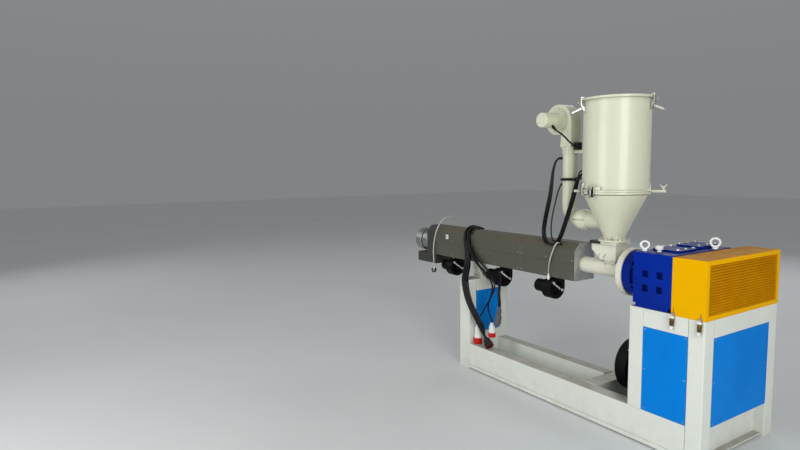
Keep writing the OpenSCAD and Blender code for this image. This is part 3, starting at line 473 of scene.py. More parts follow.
@dataclass(frozen=True)
class Enamel:
    """A coat of enamel on folded sheet, box section or a casting."""

    name: str
    color: Chip
    shade: Chip
    sheen: Sheen = Sheen.SATIN
    uneven: float = 0.35
    peel: float = 0.25
    waves: float = 0.6
    edge: float = 0.0022
    wear: float = 0.35
    # The next two fields lay a colour on faces that look up: settled dust, and on the frame, guard, gearbox
    # and covers painted shade and painted reflection that darken the tops.
    dust_and_top_shade: float = 0.12
    dust_and_top_shade_color: Chip = (176, 170, 156)
    grime: float = 0.0
    coat: float = 0.25
    shine: float = 0.5
    # The next three fields paint shade into slots and corners: how far it reaches, how strong it is, and
    # its tone.
    recess: float = 0.03
    recess_shade: float = 0.35
    recess_shade_tone: Chip = (44, 40, 34)
    patch_scale: float = 2.6
    patch_rough: float = 0.1
    grime_color: Chip = (112, 106, 92)
    grime_reach: float = 0.32
    grime_rough: float = 0.25
    dust_rough: float = 0.4
    coat_rough: float = 0.12
    skin_depth: float = 0.0005
    skin_strength: float = 0.45
    worn_keep: float = 0.55
    worn_lift: float = 0.3

    def material(self, effects: Effects) -> bpy.types.Material:
        """Builds the material.

        Args:
            effects: The shared node groups.

        Returns:
            The new material.
        """
        material, board, shader = new_material(self.name)
        base = linear(*self.color)
        patches = board.put(effects.clouds, Color=base, Shade=linear(*self.shade), Amount=self.uneven,
                            Scale=self.patch_scale)
        edges = board.put(effects.edges, Radius=self.edge, Amount=self.wear)
        worn = tuple(min(1.0, self.worn_keep * part + self.worn_lift) for part in base[:3]) + (1.0,)
        color = board.mix(edges.outputs["Mask"], patches.outputs["Color"], worn)
        # Up-facing faces take the dust colour: settled dust, and painted shade on the darker tops.
        dust_and_top_shade = board.put(effects.dust_and_top_shade, Color=color, Dust=linear(*self.dust_and_top_shade_color), Amount=self.dust_and_top_shade)
        color = dust_and_top_shade.outputs["Color"]
        rough = board.plus(self.sheen.value, patches.outputs["Mask"], self.patch_rough)
        if self.grime:
            grime = board.put(effects.floor_grime, Color=color, Grime=linear(*self.grime_color),
                              Reach=self.grime_reach, Amount=self.grime)
            color = grime.outputs["Color"]
            rough = board.plus(rough, grime.outputs["Mask"], self.grime_rough)
        rough = board.plus(rough, dust_and_top_shade.outputs["Mask"], self.dust_rough)
        # Painted shade: the coat's colour is darkened in slots, creases and corners.
        recess = board.put(effects.painted_recess_shade, Color=color, Tone=linear(*self.recess_shade_tone),
                           Reach=self.recess, Amount=self.recess_shade)
        board.feed(shader.inputs["Base Color"], recess.outputs["Color"])
        board.feed(shader.inputs["Roughness"], rough)
        shader.inputs["Specular IOR Level"].default_value = self.shine
        shader.inputs["Coat Weight"].default_value = self.coat
        shader.inputs["Coat Roughness"].default_value = self.coat_rough
        skin = board.put(effects.skin, Peel=self.peel, Waves=self.waves)
        board.bump(shader, skin.outputs["Height"], self.skin_depth, self.skin_strength,
                   under=edges.outputs["Normal"])
        return material


@dataclass(frozen=True)
class LouvredEnamel(Enamel):
    """The guard's coat, with painted shade lines where each louvre runs in under the next one."""

    field_low: Point = (2.02, -0.178, 0.8579)
    field_high: Point = (2.0449, 0.554, 1.136)
    pitch: float = 0.0155
    louvre_shadow_tone: Chip = (172, 84, 0)
    line_shade: float = 0.85

    def material(self, effects: Effects) -> bpy.types.Material:
        """Builds the material.

        Args:
            effects: The shared node groups.

        Returns:
            The new material.
        """
        material = super().material(effects)
        board = NodeBoard(material.node_tree)
        place = board.parts(board.place())
        inside = 1.0
        for axis, low, high in zip("XYZ", self.field_low, self.field_high):
            inside = board.times(inside, board.math("GREATER_THAN", place[axis], low))
            inside = board.times(inside, board.math("LESS_THAN", place[axis], high))
        # Painted shade: a dark line across the louvre field under each louvre's lip.
        up = board.math("SUBTRACT", place["Z"], self.field_low[2])
        step = board.math("MODULO", up, self.pitch)
        line = board.ramp(step, low=0.5 * self.pitch, high=0.68 * self.pitch)
        board.paint_over(board.times(board.times(inside, line), self.line_shade), self.louvre_shadow_tone)
        return material


@dataclass(frozen=True)
class SplitEnamel(Enamel):
    """The slide's white coat, with its pull end and its near lip dipped in black."""

    dipped: Chip = (14, 14, 15)
    dip_from: float = 1.247

    def material(self, effects: Effects) -> bpy.types.Material:
        """Builds the material.

        Args:
            effects: The shared node groups.

        Returns:
            The new material.
        """
        material = super().material(effects)
        board = NodeBoard(material.node_tree)
        mask = board.math("LESS_THAN", board.parts(board.place())["X"], self.dip_from)
        board.paint_over(mask, self.dipped)
        return material


@dataclass(frozen=True)
class BareMetal:
    """A metal without paint: turned steel, plated latches, screws."""

    name: str
    color: Chip
    sheen: Sheen = Sheen.SATIN
    axis: Axis = Axis.BARREL
    pitch: float = 0.0012
    stain: Chip = (96, 88, 76)
    staining: float = 0.25
    patch_scale: float = 9.0
    edge: float = 0.0015
    wear: float = 0.5
    worn_color: Chip = (236, 236, 234)
    line_rough: float = 0.12
    stain_rough: float = 0.3
    line_depth: float = 0.00015
    line_strength: float = 0.5

    def material(self, effects: Effects) -> bpy.types.Material:
        """Builds the material.

        Args:
            effects: The shared node groups.

        Returns:
            The new material.
        """
        material, board, shader = new_material(self.name)
        patches = board.put(effects.clouds, Color=linear(*self.color), Shade=linear(*self.stain),
                            Amount=self.staining, Scale=self.patch_scale)
        lines = board.put(effects.lathe_lines[self.axis], Pitch=self.pitch)
        edges = board.put(effects.edges, Radius=self.edge, Amount=self.wear)
        color = board.mix(edges.outputs["Mask"], patches.outputs["Color"], linear(*self.worn_color))
        board.feed(shader.inputs["Base Color"], color)
        shader.inputs["Metallic"].default_value = 1.0
        mean = self.sheen.value - 0.5 * self.line_rough
        rough = board.plus(mean, lines.outputs["Mask"], self.line_rough)
        board.feed(shader.inputs["Roughness"], board.plus(rough, patches.outputs["Mask"], self.stain_rough))
        board.bump(shader, lines.outputs["Mask"], self.line_depth, self.line_strength,
                   under=edges.outputs["Normal"])
        return material


@dataclass(frozen=True)
class Moulding:
    """A moulded plastic or rubber part."""

    name: str
    color: Chip
    sheen: Sheen = Sheen.SATIN
    grain: float = 0.5
    dust_and_top_shade: float = 0.1
    dust_and_top_shade_color: Chip = (150, 146, 136)
    uneven: float = 0.3
    patch_scale: float = 16.0
    shine: float = 0.22
    patch_rough: float = 0.35
    dust_rough: float = 0.5
    waves: float = 0.2
    grain_depth: float = 0.0003
    grain_strength: float = 0.4
    fade_keep: float = 0.8
    fade_lift: float = 22

    def material(self, effects: Effects) -> bpy.types.Material:
        """Builds the material.

        Args:
            effects: The shared node groups.

        Returns:
            The new material.
        """
        material, board, shader = new_material(self.name)
        faded = tuple(int(self.fade_keep * part + self.fade_lift) for part in self.color)
        patches = board.put(effects.clouds, Color=linear(*self.color), Shade=linear(*faded),
                            Amount=self.uneven, Scale=self.patch_scale)
        dust_and_top_shade = board.put(effects.dust_and_top_shade, Color=patches.outputs["Color"], Dust=linear(*self.dust_and_top_shade_color),
                         Amount=self.dust_and_top_shade)
        shader.inputs["Specular IOR Level"].default_value = self.shine
        board.feed(shader.inputs["Base Color"], dust_and_top_shade.outputs["Color"])
        rough = board.plus(self.sheen.value, patches.outputs["Mask"], self.patch_rough)
        board.feed(shader.inputs["Roughness"], board.plus(rough, dust_and_top_shade.outputs["Mask"], self.dust_rough))
        skin = board.put(effects.skin, Peel=self.grain, Waves=self.waves)
        board.bump(shader, skin.outputs["Height"], self.grain_depth, self.grain_strength)
        return material


@dataclass(frozen=True)
class Braid:
    """A woven glass or steel sleeve on a lead."""

    name: str
    color: Chip
    gap_color: Chip
    strand: float = 0.0011
    metallic: float = 0.35
    roughness: float = 0.42
    strand_depth: float = 0.0008
    strand_strength: float = 0.8

    def material(self, effects: Effects) -> bpy.types.Material:
        """Builds the material.

        Args:
            effects: The shared node groups.

        Returns:
            The new material.
        """
        material, board, shader = new_material(self.name)
        weave = board.put(effects.weave, Strand=self.strand).outputs["Mask"]
        color = board.mix(weave, linear(*self.gap_color), linear(*self.color))
        board.feed(shader.inputs["Base Color"], color)
        shader.inputs["Metallic"].default_value = self.metallic
        shader.inputs["Roughness"].default_value = self.roughness
        board.bump(shader, weave, self.strand_depth, self.strand_strength)
        return material


FINISHES = (
    # The frame's up-facing layer is mostly painted shade that darkens the beam tops.
    Enamel("frame_white", (220, 224, 216), (208, 211, 202), Sheen.SATIN, wear=0.2, dust_and_top_shade=0.85,
           dust_and_top_shade_color=(150, 146, 132), grime=0.16, coat=0.15, shine=0.4, recess_shade=0.06),
    Enamel("panel_blue", (0, 126, 216), (0, 112, 202), Sheen.EGGSHELL, uneven=0.5, edge=0.0012, dust_and_top_shade=0.0,
           grime=0.04, coat=0.0, shine=0.06),
    # The guard's dark orange top layer is painted shade; its recess tone and louvre lines are painted shade
    # too.
    LouvredEnamel("guard_yellow", (234, 174, 0), (226, 162, 0), Sheen.GLOSS, uneven=0.4, edge=0.003,
                  wear=0.15, dust_and_top_shade=0.72, dust_and_top_shade_color=(150, 84, 8), coat=0.0, shine=0.02, recess=0.011,
                  recess_shade=0.3, recess_shade_tone=(196, 96, 0)),
    # The gearbox's dark blue top layer is a painted reflection of dark surroundings; its recess tone is
    # painted shade in the pockets.
    Enamel("gearbox_blue", (0, 40, 148), (0, 30, 122), Sheen.GLOSS, uneven=0.6, peel=0.5, waves=1.6,
           edge=0.004, wear=0.25, dust_and_top_shade=0.6, dust_and_top_shade_color=(14, 32, 84), coat=0.03, shine=0.07,
           recess_shade=0.6, recess_shade_tone=(0, 8, 40)),
    Enamel("dryer_white", (212, 214, 190), (203, 205, 178), Sheen.SATIN, uneven=0.4, peel=0.15,
           waves=1.2, edge=0.002, dust_and_top_shade=0.05, coat=0.3, shine=0.35),
    Enamel("cast_white", (228, 228, 212), (206, 202, 182), Sheen.EGGSHELL, uneven=0.55, peel=0.9,
           waves=2.4, edge=0.004, wear=0.15, dust_and_top_shade=0.2, coat=0.2),
    # The covers' brown top layer is a painted reflection of dark surroundings.
    Enamel("cover_grey", (82, 83, 72), (74, 74, 62), Sheen.SATIN, uneven=0.5, edge=0.002, wear=0.35,
           dust_and_top_shade=0.8, dust_and_top_shade_color=(94, 84, 66), coat=0.15, shine=0.4),
    Enamel("casing_grey", (56, 56, 50), (44, 43, 38), Sheen.SATIN, uneven=0.5, dust_and_top_shade=0.4,
           dust_and_top_shade_color=(80, 72, 58), coat=0.15, shine=0.4),
    Enamel("machine_black", (7, 8, 9), (14, 14, 14), Sheen.SATIN, uneven=0.6, peel=0.7, waves=1.4,
           edge=0.002, wear=0.2, dust_and_top_shade=0.03, coat=0.0, shine=0.1),
    SplitEnamel("gate_paint", (228, 228, 212), (206, 202, 182), Sheen.EGGSHELL, peel=0.7, waves=1.6),
    BareMetal("plate_steel", (214, 216, 216), Sheen.EGGSHELL, stain=(150, 152, 154), staining=0.6),
    BareMetal("turned_steel", (160, 164, 162), Sheen.SATIN),
    BareMetal("bright_zinc", (246, 247, 248), Sheen.MATT, stain=(226, 228, 228), staining=0.3),
    BareMetal("plated_steel", (178, 178, 174), Sheen.SATIN, Axis.UPRIGHT, 0.0009, (150, 140, 118), 0.3),
    BareMetal("screw_zinc", (188, 188, 184), Sheen.SATIN, Axis.UPRIGHT, 0.0008, (120, 112, 96), 0.35),
    BareMetal("latch_brass", (122, 96, 48), Sheen.SATIN, Axis.UPRIGHT, 0.0009, (86, 62, 36), 0.5),
    Moulding("plug_white", (232, 232, 228), Sheen.SATIN),
    Moulding("plug_grey", (88, 89, 92), Sheen.SATIN),
    Moulding("plug_black", (22, 22, 23), Sheen.SATIN),
    Moulding("plug_red", (206, 22, 16), Sheen.SATIN, dust_and_top_shade=0.0),
    Moulding("box_grey", (196, 198, 194), Sheen.EGGSHELL),
    Moulding("hose_black", (8, 8, 9), Sheen.GLOSS, 0.15, 0.0),
    Moulding("gasket_black", (24, 23, 22), Sheen.MATT, 0.8, 0.0),
    Braid("lead_braid", (240, 240, 236), (120, 116, 106)),
)
NODE_FINISHES: dict[str, tuple[str, ...]] = {
    "frame_white": ("near_floor_beam", "spine_beam", "far_floor_beam", "wide_cross_beam",
                    "drive_end_channel", "cabinet_posts", "cabinet_rails", "gearbox_seat", "motor_bed",
                    "barrel_bracket", "pedestal_posts", "pedestal_rails"),
    "panel_blue": ("cabinet_panels", "pedestal_panels"),
    "guard_yellow": ("belt_guard",),
    "gearbox_blue": ("gearbox_housing", "gearbox_covers"),
    "dryer_white": ("outlet_spool", "dryer_cone", "dryer_shell", "dryer_lid", "clamp_arms", "blower_scroll",
                    "blower_motor", "heater_tube", "tube_bracket", "air_elbow"),
    "cast_white": ("white_flange", "feed_throat", "hopper_base"),
    "cover_grey": ("zone_cover_1", "zone_cover_2", "zone_cover_3"),
    "casing_grey": ("die_end_casing",),
    "turned_steel": ("barrel_flange", "die_flange"),
    "bright_zinc": ("lifting_eyes",),
    "plated_steel": ("guard_latches", "dryer_latches"),
    "machine_black": ("main_motor", "motor_cowl", "cooling_fan_1", "cooling_fan_2", "cooling_fan_3"),
    "gate_paint": ("slide_gate",),
    "plate_steel": ("barrel",),
    "plug_black": ("cable_glands",),
    "plug_white": ("breather",),
    "box_grey": ("terminal_box",),
}


class Stock:
    """The finishes by name, each built once."""

    def __init__(self) -> None:
        """Builds every finish."""
        effects = Effects()
        self.finishes = {finish.name: finish.material(effects) for finish in FINISHES}

    def dress(self, nodes: dict[str, bpy.types.Object]) -> None:
        """Gives every carried-over piece its finish.

        Args:
            nodes: The loaded pieces by name.
        """
        for finish, names in NODE_FINISHES.items():
            for name in names:
                for entry in nodes[name].material_slots:
                    entry.material = self.finishes[finish]


def turn_to(axis: Vector) -> Matrix:
    """Returns the turn that takes the upright axis to another."""
    return UP.rotation_difference(axis.normalized()).to_matrix().to_4x4()


def around(count: int, shift: float = 0.0) -> list[float]:
    """Returns evenly spread angles in radians, moved on by a share of a step."""
    return [math.tau * (index + shift) / count for index in range(count)]


def spoke(angle: float, first: Vector = TO_DRIVE, second: Vector = FAR) -> Vector:
    """Returns the direction at an angle, counted from the first direction to the second."""
    return first * math.cos(angle) + second * math.sin(angle)


class Shape:
    """One mesh in the making, built up from turned, cut and bent forms."""

    def __init__(self) -> None:
        """Starts with no faces."""
        self.mesh = bmesh.new()

    def skin(self, rings: list[list[Vector]], closed: bool = False) -> None:
        """Joins rings of points into a skin and closes its ends.

        Args:
            rings: Loops with the same number of points.
            closed: True where the last ring joins the first.
        """
        loops = [[self.mesh.verts.new(point) for point in ring] for ring in rings]
        pairs = list(zip(loops, loops[1:]))
        if closed:
            pairs.append((loops[-1], loops[0]))
        count = len(loops[0])
        for low, high in pairs:
            for index in range(count):
                after = (index + 1) % count
                self.mesh.faces.new((low[index], low[after], high[after], high[index]))
        if not closed:
            self.mesh.faces.new(list(reversed(loops[0])))
            self.mesh.faces.new(loops[-1])

    def turned(self, outline: Outline, place: Vector, axis: Vector = UP, sides: int = 40,
               turn: float = 0.0) -> None:
        """Turns an outline of (radius, height) points about an axis, with its ends closed.

        Args:
            outline: The outline from one end to the other, with no radius of zero.
            place: Where the height is zero.
            axis: The direction of the height.
            sides: How many sides the rings have.
            turn: Where the first side starts, in radians.
        """
        move = Matrix.Translation(place) @ turn_to(axis)
        self.skin([[move @ (spoke(turn + angle) * radius + UP * height) for angle in around(sides)]
                   for radius, height in outline])

    def ring(self, radius: float, wire: float, place: Vector, axis: Vector = UP, sides: int = 48) -> None:
        """Bends a round wire into a ring.

        Args:
            radius: The ring's radius, to the middle of the wire.
            wire: The wire's radius.
            place: The ring's middle.
            axis: The direction that the ring lies square to.
            sides: How many sides the ring has.
        """
        move = Matrix.Translation(place) @ turn_to(axis)
        self.skin([[move @ (spoke(angle) * (radius + wire * math.cos(a)) + UP * (wire * math.sin(a)))
                    for a in around(10)] for angle in around(sides)], closed=True)

    def bar(self, low: Vector, high: Vector, round_off: float = 0.0012, move: Matrix | None = None) -> None:
        """Cuts a bar with its edges broken.

        Args:
            low: Its lowest corner.
            high: Its highest corner.
            round_off: How much is taken off the edges.
            move: Where it goes, if not where it stands.
        """
        made = bmesh.ops.create_cube(self.mesh, size=1.0)["verts"]
        size = high - low
        middle = (high + low) / 2
        place = (move or Matrix.Identity(4)) @ Matrix.Translation(middle) @ Matrix.Diagonal((*size, 1.0))
        bmesh.ops.transform(self.mesh, matrix=place, verts=made)
        edges = list(dict.fromkeys(edge for vert in made for edge in vert.link_edges))
        bmesh.ops.bevel(self.mesh, geom=edges, offset=round_off, segments=2, affect="EDGES", profile=0.5)

    def hex_bolt(self, place: Vector, axis: Vector, across: float, height: float,
                 turn: float = 0.3) -> None:
        """Sets a hexagon bolt head on its washer.

        Args:
            place: The middle of the washer's foot.
            axis: The way that the head points.
            across: The head's width between two flats.
            height: The height of both.
            turn: How far the hexagon is turned, in radians.
        """
        radius = across / math.sqrt(3)
        washer = 0.16 * height
        self.turned([(1.32 * radius, 0.0), (1.32 * radius, 0.8 * washer), (1.26 * radius, washer),
                     (0.9 * radius, washer)], place, axis, 24)
        self.turned([(radius, washer), (radius, 0.86 * height), (0.93 * radius, 0.95 * height),
                     (0.74 * radius, height)], place, axis, 6, turn)

    def cap_screw(self, place: Vector, axis: Vector, radius: float, height: float) -> None:
        """Sets a socket head screw, its hexagon hole open.

        Args:
            place: The middle of the head's foot.
            axis: The way that the head points.
            radius: The head's radius.
            height: The head's height.
        """
        self.turned([(radius, 0.0), (radius, 0.86 * height), (0.9 * radius, height),
                     (0.56 * radius, height), (0.54 * radius, 0.45 * height)], place, axis, 24)

    def pan_screw(self, place: Vector, axis: Vector, radius: float) -> None:
        """Sets a domed screw head with its cross of slots.

        Args:
            place: The middle of the head's foot.
            axis: The way that the head points.
            radius: The head's radius.
        """
        height = 0.5 * radius
        self.turned([(radius, 0.0), (radius, 0.18 * height), (0.92 * radius, 0.6 * height),
                     (0.7 * radius, 0.9 * height), (0.34 * radius, height), (0.3 * radius, 0.5 * height)],
                    place, axis, 20)
        move = Matrix.Translation(place) @ turn_to(axis)
        for turn in (0.0, math.pi / 2):
            self.bar(Vector((-0.22 * radius, -0.06 * radius, 0.5 * height)),
                     Vector((0.22 * radius, 0.06 * radius, 0.8 * height)), 0.02 * radius,
                     move @ Matrix.Rotation(turn, 4, "Z"))

    def tube(self, points: list[Vector], radius: float | list[float], sides: int = 10,
             start: Point = (0.3, 0.9, 0.2)) -> None:
        """Runs a round bar along points.

        Args:
            points: The points that its middle runs through.
            radius: Its radius, or its radius at each of the points.
            sides: How many sides it has.
            start: A direction well away from the one that it sets out in.
        """
        radii = radius if isinstance(radius, list) else [radius] * len(points)
        rings = []
        side = Vector(start).normalized()
        for index, (point, reach) in enumerate(zip(points, radii)):
            ahead = points[min(index + 1, len(points) - 1)] - points[max(index - 1, 0)]
            across = ahead.cross(side).normalized()
            side = across.cross(ahead).normalized()
            rings.append([point + reach * spoke(a, across, side) for a in around(sides)])
        self.skin(rings)

    def piece(self, name: str, finish: bpy.types.Material, slot: str,
              crease: float = 38.0) -> bpy.types.Object:
        """Ends the mesh and puts it on the machine.

        Args:
            name: The piece's name.
            finish: Its material.
            slot: A material slot's name; not used.
            crease: The angle in degrees above which an edge stays sharp.

        Returns:
            The new piece.
        """
        bmesh.ops.recalc_face_normals(self.mesh, faces=self.mesh.faces)
        mesh = bpy.data.meshes.new(name)
        self.mesh.to_mesh(mesh)
        self.mesh.free()
        for face in mesh.polygons:
            face.use_smooth = True
        mesh.set_sharp_from_angle(angle=math.radians(crease))
        mesh.materials.append(finish)
        made = bpy.data.objects.new(name, mesh)
        bpy.context.scene.collection.objects.link(made)
        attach(made, "root")
        log.info("%s: %d faces", name, len(mesh.polygons))
        return made


def islands(node: bpy.types.Object) -> list[tuple[Vector, Vector]]:
    """Finds the separate solids of a carried-over piece.

    Args:
        node: The piece.

    Returns:
        Each solid's lowest and highest corner.
    """
    groups: dict[tuple, tuple] = {}

    def top(key: tuple) -> tuple:
        """Finds the point that stands for a point's solid.

        Args:
            key: The point.

        Returns:
            The one that stands for its solid.
        """
        while groups[key] != key:
            groups[key] = groups[groups[key]]
            key = groups[key]
        return key

    keys = [tuple(round(value, 5) for value in vert.co) for vert in node.data.vertices]
    for key in keys:
        groups.setdefault(key, key)
    for edge in node.data.edges:
        first, second = (top(keys[index]) for index in edge.vertices)
        groups[first] = second
    solids: dict[tuple, list[tuple]] = {}
    for key in groups:
        solids.setdefault(top(key), []).append(key)
    boxes = [(Vector(min(point[i] for point in solid) for i in range(3)),
              Vector(max(point[i] for point in solid) for i in range(3))) for solid in solids.values()]
    return sorted(boxes, key=lambda box: tuple(box[0]))


@dataclass
class Workshop:
    """What every sub-assembly needs: the loaded pieces and the finishes."""

    nodes: dict[str, bpy.types.Object]
    stock: Stock

    def finish(self, name: str) -> bpy.types.Material:
        """Returns a finish by name."""
        return self.stock.finishes[name]

    def box(self, name: str) -> tuple[Vector, Vector]:
        """Returns a carried-over piece's lowest and highest corner."""
        low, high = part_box(name)
        return Vector(low), Vector(high)


@dataclass
class SheetPanels:
    """Screws at the corners of the blue panels."""

    shop: Workshop
    inset: float = 0.014
    head: float = 0.0042
    cabinet_middle: Point = (1.81, 0.188, 0.5)
    pedestal_middle: Point = (0.0, 0.0, 0.48)

    def build(self) -> None:
        """Screws every panel on."""
        for node, middle in (("cabinet_panels", Vector(self.cabinet_middle)),
                             ("pedestal_panels", Vector(self.pedestal_middle))):
            shape = Shape()
            for low, high in islands(self.shop.nodes[node]):
                self.screws(shape, low, high, middle)
            shape.piece(node.replace("panels", "screws"), self.shop.finish("screw_zinc"), "bare_steel")

    def screws(self, shape: Shape, low: Vector, high: Vector, middle: Vector) -> None:
        """Sets a panel's screws.

        Args:
            shape: The screws' mesh.
            low: The panel's lowest corner.
            high: The panel's highest corner.
            middle: A point on the panel's inner side.
        """
        size = high - low
        thin = min(range(3), key=lambda i: size[i])
        axis = Vector((0.0, 0.0, 0.0))
        axis[thin] = 1.0 if (low + high)[thin] / 2 > middle[thin] else -1.0
        face = high[thin] if axis[thin] > 0 else low[thin]
        wide, tall = (i for i in range(3) if i != thin)
        for across in (low[wide] + self.inset, high[wide] - self.inset):
            for up in (low[tall] + self.inset, (low[tall] + high[tall]) / 2, high[tall] - self.inset):
                place = Vector((0.0, 0.0, 0.0))
                place[thin], place[wide], place[tall] = face, across, up
                shape.pan_screw(place, axis, self.head)


@dataclass
class FloorFrame:
    """Welds of the box-section frame."""

    shop: Workshop
    weld: float = 0.0035
    ripple: float = 0.004
    inset: float = 0.008

    def build(self) -> None:
        """Lays the welds where the sections meet."""
        shape = Shape()
        near_low, near_high = self.shop.box("near_floor_beam")
        spine_low, spine_high = self.shop.box("spine_beam")
        cross_low, cross_high = self.shop.box("wide_cross_beam")
        post_x = islands(self.shop.nodes["pedestal_posts"])[0][1].x
        cabinet_x = islands(self.shop.nodes["cabinet_posts"])[0][0].x
        for x, low, high in ((post_x, near_low, near_high), (post_x, spine_low, spine_high),
                             (cabinet_x, near_low, near_high)):
            self.bead(shape, Vector((x, low.y + self.inset, high.z)),
                      Vector((x, high.y - self.inset, high.z)))
        self.bead(shape, Vector((cross_low.x + self.inset, near_high.y, cross_high.z)),
                  Vector((cross_high.x - self.inset, near_high.y, cross_high.z)))
        shape.piece("frame_welds", self.shop.finish("frame_white"), "white_paint", 60.0)

    def bead(self, shape: Shape, start: Vector, end: Vector) -> None:
        """Lays one rippled weld bead.

        Args:
            shape: The welds' mesh.
            start: Where it starts.
            end: Where it ends.
        """
        steps = max(8, int((end - start).length / self.ripple))
        side = (end - start).normalized().cross(UP).normalized()
        rings = []
        for index in range(steps + 1):
            point = start.lerp(end, index / steps)
            radius = self.weld * (1.0 if index % 2 else 0.82)
            if index in (0, steps):
                radius *= 0.4
            rings.append([point + radius * spoke(a, side, UP) for a in around(8)])
        shape.skin(rings)


@dataclass
class Gearbox:
    """Bolts and oil plugs of the gearbox."""

    shop: Workshop
    bolt: float = 0.017
    bolt_height: float = 0.0095
    bolt_inset: float = 0.017
    flange_circle: float = 0.128
    flange_bolt: float = 0.024
    flange_bolt_height: float = 0.015
    flange_depth: float = 0.008
    plug_x: float = 1.721
    plug_z: float = 0.87
    plug_shift: float = 0.06
    plug: float = 0.019
    plug_height: float = 0.012

    def build(self) -> None:
        """Bolts the covers and the output flange on."""
        shape = Shape()
        for low, high in islands(self.shop.nodes["gearbox_covers"]):
            for x in (low.x + self.bolt_inset, high.x - self.bolt_inset):
                for y in (low.y + self.bolt_inset, (low.y + high.y) / 2, high.y - self.bolt_inset):
                    shape.hex_bolt(Vector((x, y, high.z)), UP, self.bolt, self.bolt_height, 0.7 * x + y)
        centre = Vector((self.shop.box("white_flange")[0].x + self.flange_depth, 0.0, BARREL_HEIGHT))
        for index, angle in enumerate(around(8)):
            shape.hex_bolt(centre + spoke(angle, FAR, UP) * self.flange_circle, TO_DIE, self.flange_bolt,
                           self.flange_bolt_height, 0.4 + index)
        shape.piece("gearbox_bolts", self.shop.finish("screw_zinc"), "bare_steel")
        plugs = Shape()
        face = self.shop.box("gearbox_housing")[1].y
        for shift in (-self.plug_shift, self.plug_shift):
            place = Vector((self.plug_x + shift, face, self.plug_z))
            plugs.hex_bolt(place, FAR, self.plug, self.plug_height)
        plugs.piece("oil_plugs", self.shop.finish("screw_zinc"), "bare_steel")


@dataclass
class LiftingEyes:
    """The two thick eye bolts on the gearbox."""

    shop: Workshop
    facing: float = math.radians(-55.0)
    collar: float = 0.005

    def build(self) -> None:
        """Makes each ring with its collar, in place of the plain one."""
        shape = Shape()
        for low, high in islands(self.shop.nodes["lifting_eyes"]):
            size = (high.z - low.z - self.collar) / 2
            foot = Vector(((low.x + high.x) / 2, (low.y + high.y) / 2, low.z))
            wire = 0.25 * size
            shape.turned([(0.55 * size, 0.0), (0.55 * size, self.collar),
                          (0.46 * size, self.collar + 0.003), (0.3 * size, self.collar + 0.006)],
                         foot, UP, 40)
            shape.ring(size - wire, wire, foot + UP * (self.collar + size), spoke(self.facing), 56)
        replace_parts(shape.piece("lifting_rings", self.shop.finish("bright_zinc"), "bare_steel", 60.0),
                    "lifting_eyes")


@dataclass
class BeltGuard:
    """Latches and slits of the belt guard."""

    shop: Workshop
    middle_y: float = 0.188
    slit: float = 0.0032

    def build(self) -> None:
        """Dresses the guard's corners."""
        low, high = self.shop.box("belt_guard")
        brass, bright, slits = Shape(), Shape(), Shape()
        for latch_low, latch_high in islands(self.shop.nodes["guard_latches"]):
            near = (latch_low + latch_high).y / 2 < self.middle_y
            out = NEAR if near else FAR
            wall = low.y if near else high.y
            middle = (latch_low.x + latch_high.x) / 2
            foot = Vector((middle, latch_low.y if near else latch_high.y, latch_low.z))
            head = Vector((foot.x, foot.y, latch_high.z))
            self.plate(brass, foot, out, 0.011, (0.0, 0.012), (0.018, 0.062), 0.003)
            self.plate(bright, foot, out, 0.0125, (0.0, 0.016), (0.061, 0.074), 0.003)
            self.plate(bright, foot, out, 0.0088, (0.0, 0.017), (-0.006, 0.017), 0.0034)
            bright.ring(0.008, 0.0017, head + out * 0.013 - UP * 0.018, FAR, 24)
            self.plate(bright, head, out, 0.0105, (0.0, 0.009), (-0.034, -0.026), 0.002)
            self.plate(slits, Vector((middle, wall, latch_high.z)), out, self.slit / 2, (-0.002, 0.0004),
                       (-0.004, 0.026), 0.0004)
        brass.piece("latch_bodies", self.shop.finish("latch_brass"), "bare_steel")
        bright.piece("latch_hooks", self.shop.finish("bright_zinc"), "bare_steel")
        slits.piece("guard_slits", self.shop.finish("gasket_black"), "black_plastic")

    def plate(self, shape: Shape, place: Vector, out: Vector, half: float, depth: tuple[float, float],
              rise: tuple[float, float], round_off: float) -> None:
        """Cuts one block of a latch.

        Args:
            shape: The mesh that it goes into.
            place: The point that it is measured from.
            out: The direction away from the guard.
            half: Half its width.
            depth: Where it starts and ends along that direction.
            rise: Where it starts and ends in height.
            round_off: How much is taken off its edges.
        """
        y_low, y_high = sorted(place.y + out.y * value for value in depth)
        shape.bar(Vector((place.x - half, y_low, place.z + rise[0])),
                  Vector((place.x + half, y_high, place.z + rise[1])), round_off)


@dataclass
class DriveMotor:
    """Foot bolts, lid screws and cowl screws of the main motor."""

    shop: Workshop
    axis_y: float = 0.16
    axis_z: float = 0.34
    foot_x: tuple[float, float] = (1.653, 1.7665)
    foot_z: float = 0.22
    foot_reach: float = 0.152
    foot_bolt: float = 0.024
    foot_bolt_height: float = 0.014
    lid_x: tuple[float, float] = (1.5635, 1.6895)
    lid_y: tuple[float, float] = (0.112, 0.208)
    lid_screw: float = 0.0045
    cowl_screw: float = 0.006
    cowl_inset: float = 0.014

    def build(self) -> None:
        """Dresses the motor."""
        bolts = Shape()
        for x in self.foot_x:
            for side in (-1, 1):
                place = Vector((x, self.axis_y + side * self.foot_reach, self.foot_z))
                bolts.hex_bolt(place, UP, self.foot_bolt, self.foot_bolt_height, x + side)
        lid = self.shop.box("main_motor")[1].z
        for x in self.lid_x:
            for y in self.lid_y:
                bolts.pan_screw(Vector((x, y, lid)), UP, self.lid_screw)
        cowl_low, cowl_high = self.shop.box("motor_cowl")
        centre = Vector((cowl_high.x - self.cowl_inset, self.axis_y, self.axis_z))
        for angle in around(4, 0.5):
            out = spoke(angle, FAR, UP)
            bolts.pan_screw(centre + out * ((cowl_high.y - cowl_low.y) / 2), out, self.cowl_screw)
        bolts.piece("motor_bolts", self.shop.finish("screw_zinc"), "bare_steel")


